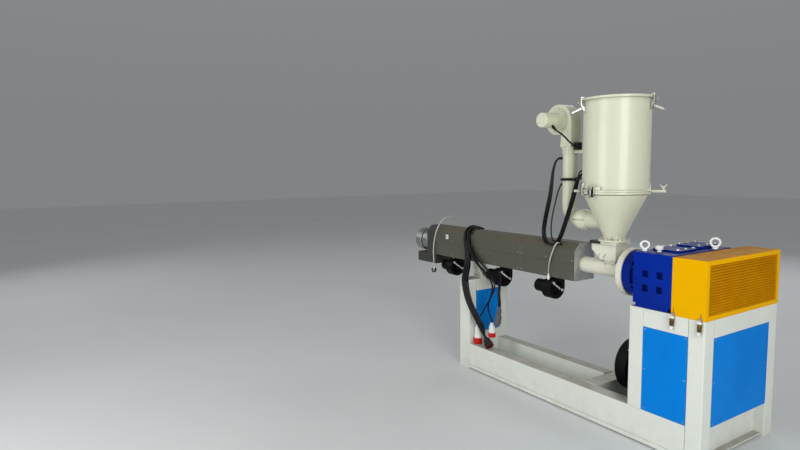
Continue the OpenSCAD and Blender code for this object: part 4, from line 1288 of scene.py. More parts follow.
@dataclass
class FeedSection:
    """Bolts round the throat and the hopper base."""

    shop: Workshop
    flange_circle: float = 0.087
    flange_height: float = 0.012
    bolt: float = 0.015
    bolt_height: float = 0.009
    spool_radius: float = 0.072
    clamp_angle: float = -1.1
    clamp_height: float = 0.024
    clamp_bolt: float = 0.012
    throat_half: float = 0.0406
    throat_screw_x: float = 0.03
    throat_screw_z: float = 1.03
    throat_screw: float = 0.0065
    throat_screw_height: float = 0.007

    def build(self) -> None:
        """Bolts the dryer's foot and the base down."""
        shape = Shape()
        spool_low, spool_high = self.shop.box("outlet_spool")
        foot = Vector(((spool_low.x + spool_high.x) / 2, (spool_low.y + spool_high.y) / 2, spool_low.z))
        for index, angle in enumerate(around(6, 0.5)):
            place = foot + spoke(angle) * self.flange_circle + UP * self.flange_height
            shape.hex_bolt(place, UP, self.bolt, self.bolt_height, index)
        out = spoke(self.clamp_angle)
        place = Vector((foot.x, 0.0, foot.z + self.clamp_height)) + out * self.spool_radius
        shape.hex_bolt(place, out, self.clamp_bolt, self.clamp_bolt)
        for x in (foot.x - self.throat_screw_x, foot.x + self.throat_screw_x):
            for axis in (NEAR, FAR):
                place = Vector((x, 0.0, self.throat_screw_z)) + axis * self.throat_half
                shape.cap_screw(place, axis, self.throat_screw, self.throat_screw_height)
        shape.piece("feed_bolts", self.shop.finish("screw_zinc"), "bare_steel")


@dataclass
class Dryer:
    """Fittings of the hopper dryer and its blower."""

    shop: Workshop
    axis_x: float = 1.2975
    radius: float = 0.209
    band_z: float = 1.516
    lid_z: float = 2.108
    air_x: float = 0.9175
    elbow_z: float = 1.3132
    tie_z: float = 1.588
    tube_top: float = 1.8154
    blower_x: float = 0.8425
    blower_z: float = 2.004
    scroll_y: float = -0.058
    scroll_circle: float = 0.0815
    motor_y: float = -0.216
    motor_circle: float = 0.034
    tube_circle: float = 0.054
    tube_radius: float = 0.0572
    toggle_turn: float = 266.0
    lug_turn: float = 277.5

    def build(self) -> None:
        """Dresses the dryer from its band up to the lid."""
        self.gaskets()
        self.screws()
        self.seam()
        self.tube_tie()
        self.lid_rings()
        self.toggle()

    def gaskets(self) -> None:
        """Lays the dark gaskets in the band joint, under the lid and at the air elbow."""
        shape = Shape()
        axis = Vector((self.axis_x, 0.0, 0.0))
        shape.ring(self.radius + 0.0055, 0.0022, axis + UP * self.band_z, UP, 96)
        shape.ring(self.radius + 0.0035, 0.002, axis + UP * (self.lid_z - 0.0015), UP, 96)
        shape.ring(0.0745, 0.0012, Vector((self.air_x + 0.125, 0.0, self.elbow_z)), UP, 64)
        shape.piece("dryer_gaskets", self.shop.finish("gasket_black"), "black_plastic")

    def screws(self) -> None:
        """Sets the screws of the blower and its flanges."""
        shape = Shape()
        scroll = Vector((self.blower_x, self.scroll_y, self.blower_z))
        for angle in around(6, 0.25):
            shape.pan_screw(scroll + spoke(angle, TO_DRIVE, UP) * self.scroll_circle, NEAR, 0.0045)
        motor = Vector((self.blower_x, self.motor_y, self.blower_z))
        for angle in around(4, 0.5):
            shape.pan_screw(motor + spoke(angle, TO_DRIVE, UP) * self.motor_circle, NEAR, 0.004)
        flange = Vector((self.air_x, 0.0, self.tube_top))
        for index, angle in enumerate(around(6, 0.5)):
            shape.hex_bolt(flange + spoke(angle) * self.tube_circle, UP, 0.0075, 0.005, index)
        shape.piece("blower_screws", self.shop.finish("screw_zinc"), "bare_steel")

    def seam(self) -> None:
        """Lays the folded seam down the back of the shell."""
        shape = Shape()
        shape.bar(Vector((self.axis_x - 0.009, self.radius - 0.0012, 1.545)),
                  Vector((self.axis_x + 0.009, self.radius + 0.0014, 2.09)), 0.0006)
        shape.piece("shell_seam", self.shop.finish("dryer_white"), "dryer_white")

    def tube_tie(self) -> None:
        """Winds the black tie round the heater tube, with its tail towards the shell."""
        shape = Shape()
        start = Vector((self.air_x, 0.0, self.tie_z))
        steps = 40
        line = [start + spoke(math.radians(-15 + 345 * step / steps)) * self.tube_radius
                + UP * (0.006 * step / steps - 0.003) for step in range(steps + 1)]
        shape.tube(line, 0.0095, 12)
        tail = [start + Vector(point) for point in (
            (0.055, -0.018, 0.002), (0.085, -0.026, 0.010), (0.120, -0.034, 0.026), (0.152, -0.042, 0.046),
            (0.176, -0.046, 0.061))]
        shape.tube(tail, 0.0088, 12)
        shape.piece("tube_tie", self.shop.finish("hose_black"), "black_plastic", 60.0)

    def lid_rings(self) -> None:
        """Hangs the small rings under the lid's edge."""
        shape = Shape()
        lid = Vector((self.axis_x, 0.0, self.lid_z))
        for angle in (14.0, 236.0):
            out = spoke(math.radians(angle))
            shape.ring(0.011, 0.0026, lid + out * (self.radius + 0.035) - UP * 0.014, out.cross(UP), 32)
        shape.piece("lid_rings", self.shop.finish("plated_steel"), "bare_steel")

    def toggle(self) -> None:
        """Fits the toggle over the near lug of the band, and the white lug beside it."""
        dark, bright, lug = Shape(), Shape(), Shape()
        band = Matrix.Translation(Vector((self.axis_x, 0.0, self.band_z)))
        move = band @ Matrix.Rotation(math.radians(self.toggle_turn), 4, "Z")
        lug_move = band @ Matrix.Rotation(math.radians(self.lug_turn), 4, "Z")
        face = self.radius + 0.0165
        for shape, low, high, round_off in (
                (dark, (-0.003, -0.020, -0.016), (0.007, 0.020, 0.030), 0.0025),
                (dark, (-0.006, -0.015, -0.034), (0.004, 0.015, -0.018), 0.0025),
                (bright, (0.006, -0.016, 0.012), (0.011, 0.016, 0.040), 0.002),
                (bright, (0.004, -0.0085, -0.040), (0.009, 0.0085, 0.014), 0.002)):
            shape.bar(TO_DRIVE * face + Vector(low), TO_DRIVE * face + Vector(high), round_off, move)
        bright.tube([move @ Vector((face + 0.0095, y, 0.022)) for y in (-0.021, 0.021)], 0.0028, 10)
        lug.bar(Vector((self.radius - 0.002, -0.021, 0.010)), Vector((face - 0.002, 0.021, 0.034)), 0.003,
                lug_move)
        dark.piece("band_toggle_body", self.shop.finish("machine_black"), "black_paint")
        bright.piece("band_toggle_lever", self.shop.finish("plated_steel"), "bare_steel")
        lug.piece("band_toggle_lug", self.shop.finish("dryer_white"), "dryer_white")


@dataclass
class BarrelCovers:
    """Screws, rims and the small plate of the zone covers."""

    shop: Workshop
    half_width: float = 0.102
    top: float = 0.150
    low: float = 0.114
    slope: float = 0.05
    screw: float = 0.0042
    inset: float = 0.022
    upper_row: float = 0.030
    lower_row: float = 0.020
    lid_row: float = 0.034
    plate_screws: tuple[tuple[float, float], ...] = ((-0.088, 0.09), (0.088, 0.09), (-0.088, -0.1),
                                                     (0.088, -0.1))
    rim_width: float = 0.012
    rim_height: float = 0.0011
    rim_margin: float = 0.0004

    def build(self) -> None:
        """Dresses the covers."""
        screws, strips = Shape(), Shape()
        for name in ("zone_cover_1", "zone_cover_2", "zone_cover_3"):
            low, high = self.shop.box(name)
            ends = (low.x + self.inset, high.x - self.inset)
            for side, axis in ((-1, NEAR), (1, FAR)):
                for x in (ends[0], (low.x + high.x) / 2, ends[1]):
                    for z in (BARREL_HEIGHT + self.upper_row, BARREL_HEIGHT - self.low + self.lower_row):
                        screws.pan_screw(Vector((x, side * self.half_width, z)), axis, self.screw)
            for x in ends:
                for y in (-self.lid_row, self.lid_row):
                    screws.pan_screw(Vector((x, y, BARREL_HEIGHT + self.top)), UP, self.screw)
            self.rim(strips, low.x + self.rim_margin)
            self.rim(strips, high.x - self.rim_margin - self.rim_width)
        plate_x = self.shop.box("barrel")[1].x
        for y, z in self.plate_screws:
            screws.pan_screw(Vector((plate_x, y, BARREL_HEIGHT + z)), TO_DRIVE, self.screw)
        screws.piece("cover_screws", self.shop.finish("screw_zinc"), "bare_steel")
        strips.piece("cover_rims", self.shop.finish("cover_grey"), "cover_grey")
        self.button_plate()

    def rim(self, shape: Shape, x: float) -> None:
        """Wraps the pressed rim round a cover's end.

        Args:
            shape: The rims' mesh.
            x: The rim's lowest place along the barrel.
        """
        foot = 0.007 - self.low
        line = [Vector(point) for point in (
            (-self.half_width, foot), (-self.half_width, self.top - self.slope),
            (self.slope - self.half_width, self.top), (self.half_width - self.slope, self.top),
            (self.half_width, self.top - self.slope), (self.half_width, foot))]
        rings = []
        for index, place in enumerate(line):
            before, after = line[max(index - 1, 0)], line[min(index + 1, len(line) - 1)]
            tangent = ((place - before).normalized() + (after - place).normalized()).normalized()
            normal = Vector((-tangent.y, tangent.x))
            inner, outer = place - normal * 0.002, place + normal * self.rim_height
            rings.append([Vector((x + along, point.x, BARREL_HEIGHT + point.y)) for along, point in (
                (0.0, inner), (0.002, outer), (self.rim_width - 0.002, outer), (self.rim_width, inner))])
        shape.skin(rings)

    def button_plate(self) -> None:
        """Sets the small bare plate on the last cover, with the black button on it."""
        face = -self.half_width - 0.003
        plate = Shape()
        plate.bar(Vector((-0.40, face, 1.045)), Vector((-0.365, -self.half_width, 1.085)), 0.001)
        plate.piece("last_cover_plate", self.shop.finish("plug_white"), "grey_plastic")
        button = Shape()
        button.turned([(0.0055, 0.0), (0.0055, 0.003), (0.004, 0.005), (0.0015, 0.0056)],
                      Vector((-0.3825, face, 1.065)), NEAR, 24)
        button.piece("last_cover_button", self.shop.finish("plug_black"), "black_plastic")


@dataclass
class Fan:
    """Inlet guard and the bright bar with its two knobs on one cooling fan."""

    shop: Workshop
    number: int
    drop: float = 0.215
    inlet_depth: float = 0.013
    wire: float = 0.0012
    guard_rings: tuple[float, ...] = (0.030, 0.041, 0.0515)
    bar_rise: float = 0.015
    knob_reach: float = 0.0548
    tilt: float = math.radians(-35.0)

    def build(self) -> None:
        """Dresses the fan's open side."""
        face = self.shop.box(f"cooling_fan_{self.number}")[1].x - self.inlet_depth
        middle = Vector((face, 0.0, BARREL_HEIGHT - self.drop))
        wires = Shape()
        for radius in self.guard_rings:
            wires.ring(radius, self.wire, middle + TO_DRIVE * self.wire, TO_DRIVE)
        hub = middle + TO_DRIVE * (2 * self.wire)
        for index in range(4):
            out = spoke(math.radians(10 + 90 * index), FAR, UP)
            wires.tube([hub + out * 0.024, hub + out * 0.060], self.wire, 8)
        wires.piece(f"fan_guard_{self.number}", self.shop.finish("machine_black"), "black_paint")
        bright = Shape()
        move = Matrix.Translation(middle + UP * self.bar_rise) @ Matrix.Rotation(self.tilt, 4, "X")
        bright.bar(Vector((0.0035, -0.0632, -0.0064)), Vector((0.0055, 0.0632, 0.0064)), 0.0008, move)
        for side in (-1, 1):
            place = move @ Vector((0.0125, side * self.knob_reach, 0.0))
            bright.turned([(0.0094, 0.0), (0.0098, 0.0008), (0.0098, 0.0034), (0.0086, 0.005),
                           (0.004, 0.0056), (0.0036, 0.0046)], place, TO_DRIVE, 12)
        bright.piece(f"fan_bar_{self.number}", self.shop.finish("bright_zinc"), "bare_steel")


class FarEnd(Enum):
    PLUG = "plug"
    CONNECTOR = "connector"
    OBJECT = "object"


def smooth_route(points: tuple[Point, ...], steps: int = 6) -> list[Vector]:
    """Runs a smooth line through points given in millimetres.

    Args:
        points: The route's points, as in the part's source.
        steps: How many pieces each stretch is cut into.

    Returns:
        The line's points in metres.
    """
    marks = [Vector(point) * MM for point in points]
    last = len(marks) - 1
    line = []
    for index in range(last):
        before, start, end, after = (marks[max(index - 1, 0)], marks[index], marks[index + 1],
                                     marks[min(index + 2, last)])
        for step in range(steps):
            t = step / steps
            bend = (2 * before - 5 * start + 4 * end - after) * t ** 2
            twist = (3 * start - before - 3 * end + after) * t ** 3
            line.append(0.5 * (2 * start + (end - before) * t + bend + twist))
    return line + [marks[last]]


@dataclass(frozen=True)
class Lead:
    """One free cable: its route in millimetres, its thickness and what it ends in."""

    node: str
    name: str
    route: tuple[Point, ...]
    radius: float
    far_end: FarEnd
    slot: str
    finish: str
    ends: tuple[str, ...] = ()

    def build(self, shop: Workshop) -> None:
        """Runs the cable in place of its solid.

        Args:
            shop: The loaded pieces and the finishes.
        """
        line = smooth_route(self.route)
        curve = bpy.data.curves.new(self.name, "CURVE")
        curve.dimensions = "3D"
        curve.bevel_depth = self.radius * MM
        curve.bevel_resolution = 5
        curve.use_fill_caps = True
        strand = curve.splines.new("POLY")
        strand.points.add(len(line) - 1)
        for mark, point in zip(strand.points, line):
            mark.co = (*point, 1.0)
        strand.use_smooth = True
        curve.materials.append(shop.finish(self.finish))
        made = bpy.data.objects.new(self.name, curve)
        bpy.context.scene.collection.objects.link(made)
        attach(made, "root")
        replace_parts(made, self.node)


LEADS = (
    Lead("plug_cable_1", "power_hose", (
        (-160, 128, 1032), (-160, 128, 1062), (-158, 114, 1116), (-152, 70, 1158), (-144, 4, 1174),
        (-132, -62, 1160), (-116, -110, 1116), (-98, -128, 1056), (-84, -130, 990), (-74, -136, 920),
        (-58, -156, 858), (-34, -194, 796), (-8, -225, 738), (10, -230, 682), (30, -230, 624),
        (60, -230, 566), (98, -228, 514), (132, -221, 464), (152, -207, 420), (164, -190, 378),
        (176, -175, 342), (192, -169, 318), (214, -171, 298)),
        radius=11, far_end=FarEnd.CONNECTOR, slot="black_plastic", finish="hose_black",
        ends=("lying_plug", "lying_plug_face", "hose_bundle")),
    Lead("plug_cable_2", "plug_lead_right", (
        (-122, 128, 1032), (-122, 127, 1068), (-119, 106, 1122), (-113, 62, 1162), (-106, 4, 1172),
        (-96, -60, 1162), (-84, -106, 1118), (-68, -122, 1064), (-44, -127, 1006), (-8, -130, 952),
        (42, -134, 904), (96, -138, 868), (152, -140, 838), (214, -141, 798), (260, -142, 748),
        (268, -142, 698), (248, -142, 636), (222, -142, 576), (218, -141, 524), (236, -138, 478),
        (252, -135, 448), (256, -134, 424)),
        radius=7, far_end=FarEnd.PLUG, slot="black_plastic", finish="hose_black",
        ends=("right_plug", "right_plug_mouth", "plug_lead_strands")),
    Lead("plug_cable_3", "plug_lead_left", (
        (-92, 128, 1032), (-92, 127, 1068), (-90, 104, 1120), (-85, 60, 1158), (-78, 4, 1167),
        (-70, -58, 1158), (-60, -104, 1116), (-44, -121, 1062), (-18, -125, 1006), (20, -129, 962),
        (70, -132, 926), (128, -135, 890), (190, -137, 854), (246, -138, 812), (284, -139, 764),
        (290, -142, 710), (270, -152, 648), (232, -160, 584), (188, -161, 520), (144, -158, 464),
        (114, -153, 424), (104, -150, 381), (104, -150, 350)),
        radius=6, far_end=FarEnd.PLUG, slot="black_plastic", finish="hose_black",
        ends=("left_plug", "left_plug_mouth")),
    Lead("fan_lead", "fan_cable", (
        (267, -67, 813), (286, -70, 808), (306, -90, 778), (322, -112, 734), (334, -128, 688),
        (346, -137, 644), (354, -140, 606), (352, -140, 575), (348, -140, 550)),
        radius=6, far_end=FarEnd.CONNECTOR, slot="black_plastic", finish="hose_black",
        ends=("fan_connectors", "fan_lead_strands")),
    Lead("motor_lead", "blower_cable", (
        (884, -140, 1955), (894, -140, 1944), (914, -134, 1926), (938, -118, 1906), (960, -98, 1878),
        (980, -80, 1848), (994, -58, 1828), (996, -36, 1822)),
        radius=6, far_end=FarEnd.OBJECT, slot="black_plastic", finish="hose_black"),
    Lead("heater_cable_1", "heater_cable_long", (
        (853, -20, 1740), (836, -21, 1739), (812, -28, 1718), (800, -42, 1650), (800, -56, 1560),
        (796, -66, 1470), (780, -73, 1380), (762, -77, 1290), (756, -82, 1205), (780, -88, 1140),
        (830, -88, 1124), (880, -87, 1134), (916, -82, 1190), (942, -78, 1260), (966, -75, 1330),
        (990, -73, 1400), (1012, -71, 1470), (1028, -68, 1535), (1046, -66, 1588), (1066, -62, 1599),
        (1082, -58, 1600)),
        radius=6, far_end=FarEnd.OBJECT, slot="black_plastic", finish="hose_black",
        ends=("heater_cable_strands",)),
    Lead("heater_cable_2", "heater_cable_short", (
        (853, 10, 1560), (838, 8, 1556), (826, -4, 1524), (824, -26, 1470), (822, -46, 1400),
        (816, -62, 1320), (816, -72, 1230), (830, -74, 1160), (862, -70, 1143), (894, -66, 1170),
        (924, -62, 1240), (950, -60, 1320), (976, -58, 1396), (1000, -57, 1468), (1020, -55, 1540),
        (1036, -56, 1598), (1050, -58, 1636), (1066, -56, 1650), (1083, -52, 1650)),
        radius=5, far_end=FarEnd.OBJECT, slot="black_plastic", finish="hose_black"),
    Lead("sleeve_lead", "sleeved_lead", (
        (-520, 116, 1040), (-520, 134, 1043), (-520, 150, 1066), (-520, 150, 1110), (-518, 122, 1180),
        (-514, 62, 1226), (-512, -4, 1232), (-516, -66, 1194), (-530, -110, 1110), (-550, -122, 1010),
        (-560, -124, 910), (-558, -122, 830), (-558, -122, 790)),
        radius=4, far_end=FarEnd.CONNECTOR, slot="steel_braid", finish="lead_braid",
        ends=("sleeve_connector", "sleeve_cap", "sleeve_strands")),
    Lead("thermo_lead", "thermocouple_lead", (
        (918, -83, 1133), (916, -91, 1141), (908, -106, 1142), (896, -117, 1120), (880, -118, 1085),
        (862, -118, 1045), (845, -118, 990), (837, -116, 945), (836, -115, 912)),
        radius=3.5, far_end=FarEnd.PLUG, slot="steel_braid", finish="lead_braid",
        ends=("thermo_connector", "thermo_sleeve")),
)


@dataclass
class Connectors:
    """The plugs and connectors on the leads' ends, and the reliefs at their exits."""

    shop: Workshop
    left_foot: Point = (104, -150, 215.5)
    left_height: float = 165.2
    right_foot: Point = (256, -134, 304)
    right_height: float = 119.7
    lying_place: Point = (214.3, -171, 297.8)
    lying_swing: float = -10.0
    lying_tilt: float = 128.0
    fan_place: Point = (352, -140, 575)
    fan_tilt: float = 189.0
    sleeve_foot: Point = (-558, -122, 730)
    thermo_foot: Point = (836, -115, 866)
    part_over: float = 0.28
    close_over: float = 0.16
    relief_length: float = 0.012
    relief_wall: float = 0.0016
    relief_flare: float = 0.0026

    def build(self) -> None:
        """Makes every plug, then runs the leads to them."""
        self.round_plug("left_plug", self.left_foot, self.left_height * MM, 0.036, 5)
        self.round_plug("right_plug", self.right_foot, self.right_height * MM, 0.030, 4)
        self.lying_plug()
        self.fan_connectors()
        self.small_connectors()
        self.strands("hose_bundle", "power_hose", (0.22, 0.985), ((20, -5, 0), (40, -4, 0), (57, 0, 4)),
                     0.0102)
        self.strands("plug_lead_strands", "plug_lead_right", (0.12, 0.62), ((13, -8, 0), (26, -8, 0)),
                     0.0066)
        self.strands("sleeve_strands", "sleeved_lead", (-0.3, 1.2), ((3.5, -2, 0), (-3.5, -2, 0)),
                     0.0036, "lead_braid")
        self.strands("thermo_sleeve", "thermocouple_lead", (-0.3, 0.8), ((2.4, -2, 0), (-2.4, -2, 0)),
                     0.0031, "lead_braid")
        self.strands("fan_lead_strands", "fan_cable", (0.08, 0.98), ((10, -4, 0), (-10, -3, 0)), 0.0056)
        self.strands("heater_cable_strands", "heater_cable_long", (0.02, 0.985), ((6, 9, 0), (-7, -8, 0)),
                     0.0056)
        for lead in LEADS:
            lead.build(self.shop)
        self.reliefs()

    def put(self, shape: Shape, name: str, finish: str, slot: str = "grey_plastic",
            node: str = "cable_plugs") -> None:
        """Puts one piece of a connector on the machine, in place of its solid.

        Args:
            shape: The piece's mesh.
            name: The piece's name.
            finish: What it is finished with.
            slot: A material slot's name, passed on to the piece.
            node: The solid.
        """
        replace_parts(shape.piece(name, self.shop.finish(finish), slot), node)

    def ribs(self, shape: Shape, move: Matrix, count: int, low: Point, high: Point,
             round_off: float) -> None:
        """Sets the ribs of a grip.

        Args:
            shape: The grip's mesh.
            move: Where the grip stands.
            count: How many ribs go round it.
            low: The first rib's lowest corner.
            high: The first rib's highest corner.
            round_off: How much is taken off a rib's edges.
        """
        for angle in around(count):
            shape.bar(Vector(low), Vector(high), round_off, move @ Matrix.Rotation(angle, 4, "Z"))

    def round_plug(self, name: str, foot_mm: Point, height: float, radius: float, pins: int) -> None:
        """Makes an upright industrial plug with its red mouth down.

        Args:
            name: The piece's name.
            foot_mm: The middle of its mouth's rim, in millimetres.
            height: Its height.
            radius: Its mouth's radius.
            pins: How many pins it has.
        """
        foot = Vector(foot_mm) * MM
        mouth = 0.3 * height
        body = Shape()
        body.turned([(radius - 0.004, mouth), (radius - 0.001, mouth + 0.003),
                     (radius - 0.001, mouth + 0.016), (radius - 0.005, mouth + 0.024),
                     (radius - 0.008, height - 0.030), (0.5 * radius, height - 0.014),
                     (0.42 * radius, height)], foot, UP, 48)
        self.ribs(body, Matrix.Translation(foot), 12, (radius - 0.0085, -0.0022, mouth + 0.026),
                  (radius - 0.0052, 0.0022, height - 0.034), 0.0008)
        self.put(body, name, "plug_white")
        face = Shape()
        face.turned([(0.0008, 0.008), (radius - 0.010, 0.008), (radius - 0.010, 0.0), (radius - 0.002, 0.0),
                     (radius, 0.003), (radius, mouth - 0.002), (radius - 0.004, mouth), (0.0008, mouth)],
                    foot, UP, 48)
        face.bar(foot + Vector((-0.006, -radius - 0.0006, 0.004)),
                 foot + Vector((0.006, -radius + 0.004, mouth - 0.004)), 0.0012)
        for angle in around(pins):
            face.turned([(0.003, 0.0082), (0.003, 0.001), (0.0018, 0.0002)],
                        foot + spoke(angle + 0.4) * (0.5 * radius), UP, 12)
        self.put(face, name + "_mouth", "plug_red")

    def lying_plug(self) -> None:
        """Makes the black connector that lies on the near beam, its red face to the drive end."""
        place = Vector(self.lying_place) * MM
        swing = Matrix.Rotation(math.radians(self.lying_swing), 4, "Z")
        axis = ((swing @ Matrix.Rotation(math.radians(self.lying_tilt), 4, "Y")) @ UP).normalized()
        stand = Matrix.Translation(place) @ turn_to(axis)
        body = Shape()
        body.turned([(0.0118, 0.0), (0.015, 0.0), (0.017, 0.014), (0.026, 0.026), (0.028, 0.060),
                     (0.036, 0.062), (0.036, 0.092), (0.033, 0.092), (0.0325, 0.088)], place, axis, 48)
        self.ribs(body, stand, 14, (0.0262, -0.0018, 0.030), (0.0292, 0.0018, 0.056), 0.0006)
        self.put(body, "lying_plug", "plug_black", "black_plastic")
        face = Shape()
        face.turned([(0.0322, 0.074), (0.0322, 0.0885), (0.028, 0.0905), (0.0275, 0.080), (0.001, 0.080)],
                    place, axis, 48)
        for angle in around(5):
            face.turned([(0.004, 0.0785), (0.004, 0.086), (0.0026, 0.0868)], stand @ (spoke(angle) * 0.018),
                        axis, 14)
        self.put(face, "lying_plug_face", "plug_red")

    def fan_connectors(self) -> None:
        """Makes the two grey connectors on the fan's lead, plugged together."""
        place = Vector(self.fan_place) * MM
        axis = (Matrix.Rotation(math.radians(self.fan_tilt), 4, "Y") @ UP).normalized()
        stand = Matrix.Translation(place) @ turn_to(axis)
        body = Shape()
        body.turned([(0.0063, 0.0003), (0.009, 0.0003), (0.010, 0.014), (0.018, 0.020), (0.018, 0.072),
                     (0.022, 0.076), (0.022, 0.080), (0.0245, 0.081), (0.026, 0.084), (0.026, 0.138),
                     (0.024, 0.142), (0.020, 0.160), (0.008, 0.160), (0.0075, 0.150)], place, axis, 40)
        self.ribs(body, stand, 10, (0.0172, -0.0016, 0.026), (0.0194, 0.0016, 0.068), 0.0005)
        body.bar(Vector((0.0235, -0.006, 0.086)), Vector((0.0285, 0.006, 0.116)), 0.0012, stand)
        self.put(body, "fan_connectors", "plug_grey")

    def strands(self, name: str, along: str, span: tuple[float, float], shifts: tuple[Point, ...],
                radius: float, finish: str = "hose_black") -> None:
        """Lays thinner strands beside a lead, which part from it and come back to it.

        Args:
            name: The piece's name.
            along: The name of the lead that they follow.
            span: Where they part and come back, as shares of its length.
            shifts: How far each strand stands off it, in millimetres.
            radius: A strand's radius.
            finish: What they are finished with.
        """
        lead = next(lead for lead in LEADS if lead.name == along)
        shape = Shape()
        line = smooth_route(lead.route)
        last = len(line) - 1
        for shift in shifts:
            strand = []
            for index, point in enumerate(line[2:-2], 2):
                rise = min(max((index / last - span[0]) / self.part_over, 0.0), 1.0)
                fall = min(max((span[1] - index / last) / self.close_over, 0.0), 1.0)
                part = rise * rise * (3 - 2 * rise) * fall * fall * (3 - 2 * fall)
                strand.append(point + part * Vector(shift) * MM)
            shape.tube(strand, radius, 16)
        shape.piece(name, self.shop.finish(finish), lead.slot, 60.0)

    def small_connectors(self) -> None:
        """Makes the connector on the sleeved lead, its open cap, and the one on the thermocouple lead."""
        sleeve = Shape()
        foot = Vector(self.sleeve_foot) * MM
        sleeve.turned([(0.003, 0.0), (0.008, 0.0), (0.012, 0.006), (0.012, 0.040), (0.006, 0.048),
                       (0.006, 0.0597), (0.0042, 0.0597)], foot, UP, 32)
        sleeve.turned([(0.0135, 0.030), (0.0135, 0.036), (0.0122, 0.038), (0.0115, 0.038)], foot, UP, 6)
        self.put(sleeve, "sleeve_connector", "plated_steel", "bare_steel", "probe_plugs")
        cap = Shape()
        cap.ring(0.019, 0.0065, foot + UP * 0.014, Vector((0.54, -0.84, 0.1)).normalized(), 40)
        cap.piece("sleeve_cap", self.shop.finish("plug_black"), "black_plastic", 60.0)
        probe = Shape()
        foot = Vector(self.thermo_foot) * MM
        probe.turned([(0.0015, 0.0), (0.004, 0.0), (0.008, 0.006), (0.008, 0.034), (0.005, 0.040),
                      (0.005, 0.0457), (0.0037, 0.0457)], foot, UP, 32)
        probe.turned([(0.0088, 0.014), (0.0088, 0.022), (0.0078, 0.0225)], foot, UP, 24)
        self.put(probe, "thermo_connector", "plug_white", node="probe_plugs")

    def reliefs(self) -> None:
        """Fits the tapered reliefs where the leads leave their housings."""
        shape = Shape()
        for lead in LEADS:
            line = smooth_route(lead.route)
            radius = lead.radius * MM
            travelled, marks = 0.0, [line[0]]
            for before, after in zip(line, line[1:]):
                travelled += (after - before).length
                marks.append(after)
                if travelled > 3.2 * radius + self.relief_length:
                    break
            span = len(marks) - 1
            lying = abs((marks[-1] - marks[0]).normalized().z) < 0.8
            radii = [radius + self.relief_wall + self.relief_flare * (1 - index / span)
                     for index in range(span + 1)]
            shape.tube(marks, radii, 20, (0.21, 0.17, 0.96) if lying else (1.0, 0.0, 0.0))
        shape.piece("lead_reliefs", self.shop.finish("gasket_black"), "black_plastic", 50.0)


@dataclass(frozen=True)
class Lamp:
    """One soft area lamp: its place, the point it faces, its width and height, and its watts."""

    name: str
    place: Point
    aim: Point
    size: tuple[float, float]
    power: float

    def hang(self) -> None:
        """Hangs the lamp."""
        data = bpy.data.lights.new(self.name, "AREA")
        data.shape = "RECTANGLE"
        data.size, data.size_y = self.size
        data.energy = self.power
        lamp = bpy.data.objects.new(self.name, data)
        lamp.location = self.place
        lamp.rotation_euler = (Vector(self.aim) - Vector(self.place)).to_track_quat("-Z", "Y").to_euler()
        bpy.context.scene.collection.objects.link(lamp)


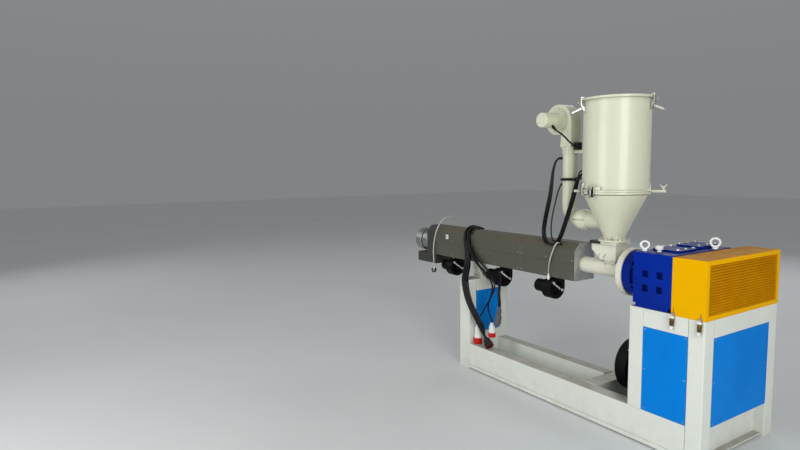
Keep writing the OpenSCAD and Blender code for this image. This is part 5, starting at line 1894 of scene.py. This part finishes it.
@dataclass
class Studio:
    """The pale floor, the soft lights and the camera at the photograph's place."""

    eye: Point = (3.6993, -3.2259, 1.665)
    turn: float = math.radians(32.695)
    pitch: float = math.radians(5.444)
    roll: float = math.radians(-0.604)
    focal_px: float = 572.016
    picture_px: float = 800.0
    sensor: float = 36.0
    floor_size: float = 60.0
    floor_rough: float = 0.68
    floor_tones: tuple[Chip, Chip] = ((208, 212, 212), (220, 223, 222))
    wall: tuple[float, float, float, float] = (0.27, 0.275, 0.28, 1.0)
    ceiling: tuple[float, float, float, float] = (0.36, 0.365, 0.37, 1.0)
    surround: float = 0.82
    lamps: tuple[Lamp, ...] = (
        Lamp("front_bank", (0.5, -5.2, 2.5), (1.2975, 0.0, 1.5), (2.3, 3.6), 106.0),
        Lamp("right_bank", (6.1, -2.6, 2.5), (1.2975, 0.0, 1.5), (2.6, 3.6), 180.0),
        Lamp("die_end_bank", (-6.4, -4.6, 4.0), (0.6, 0.0, 1.0), (5.0, 4.0), 80.0),
        Lamp("back_bank", (-1.0, 7.0, 4.5), (0.6, 0.0, 1.0), (6.0, 3.0), 110.0))

    def build(self) -> None:
        """Sets the whole studio up."""
        self.camera()
        self.floor()
        self.lights()

    def floor(self) -> None:
        """Lays the floor under the machine."""
        half = self.floor_size / 2
        mesh = bpy.data.meshes.new("floor")
        mesh.from_pydata([(-half, -half, 0), (half, -half, 0), (half, half, 0), (-half, half, 0)], [],
                         [(0, 1, 2, 3)])
        floor = bpy.data.objects.new("floor", mesh)
        bpy.context.scene.collection.objects.link(floor)
        material, board, shader = new_material("pale_floor")
        dark, pale = (linear(*tone) for tone in self.floor_tones)
        board.feed(shader.inputs["Base Color"], board.mix(board.noise(0.8, detail=5.0), dark, pale))
        shader.inputs["Roughness"].default_value = self.floor_rough
        mesh.materials.append(material)

    def lights(self) -> None:
        """Sets the lamps and the pale surroundings."""
        world = bpy.data.worlds.new("studio")
        world.use_nodes = True
        board = NodeBoard(world.node_tree)
        background = world.node_tree.nodes["Background"]
        direction = board.parts(board.add("TexCoord").outputs["Generated"])
        height = board.ramp(direction["Z"], low=0.02, high=0.75)
        board.feed(background.inputs["Color"], board.mix(height, self.wall, self.ceiling))
        background.inputs["Strength"].default_value = self.surround
        bpy.context.scene.world = world
        bpy.context.scene.view_settings.view_transform = "Standard"
        for lamp in self.lamps:
            lamp.hang()

    def camera(self) -> None:
        """Sets the camera where the photograph was taken from."""
        data = bpy.data.cameras.new("camera")
        data.sensor_width = self.sensor
        data.lens = self.focal_px / self.picture_px * data.sensor_width
        camera = bpy.data.objects.new("camera", data)
        level = math.cos(self.pitch)
        look = Vector((-math.cos(self.turn) * level, math.sin(self.turn) * level, -math.sin(self.pitch)))
        upright = look.to_track_quat("-Z", "Y").to_matrix().to_4x4()
        camera.matrix_world = Matrix.Translation(self.eye) @ upright @ Matrix.Rotation(self.roll, 4, "Z")
        bpy.context.scene.collection.objects.link(camera)
        bpy.context.scene.camera = camera


def main() -> None:
    """Builds the dressed machine and the studio round it."""
    logging.basicConfig(level=logging.INFO, format="%(message)s")
    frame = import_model()
    Studio().build()
    stock = Stock()
    stock.dress(frame["nodes"])
    shop = Workshop(frame["nodes"], stock)
    Connectors(shop).build()
    for part in (FloorFrame(shop), SheetPanels(shop), Gearbox(shop), LiftingEyes(shop), BeltGuard(shop),
                 DriveMotor(shop), FeedSection(shop), Dryer(shop), BarrelCovers(shop),
                 *(Fan(shop, number) for number in (1, 2, 3))):
        part.build()


if __name__ == "__main__":
    main()
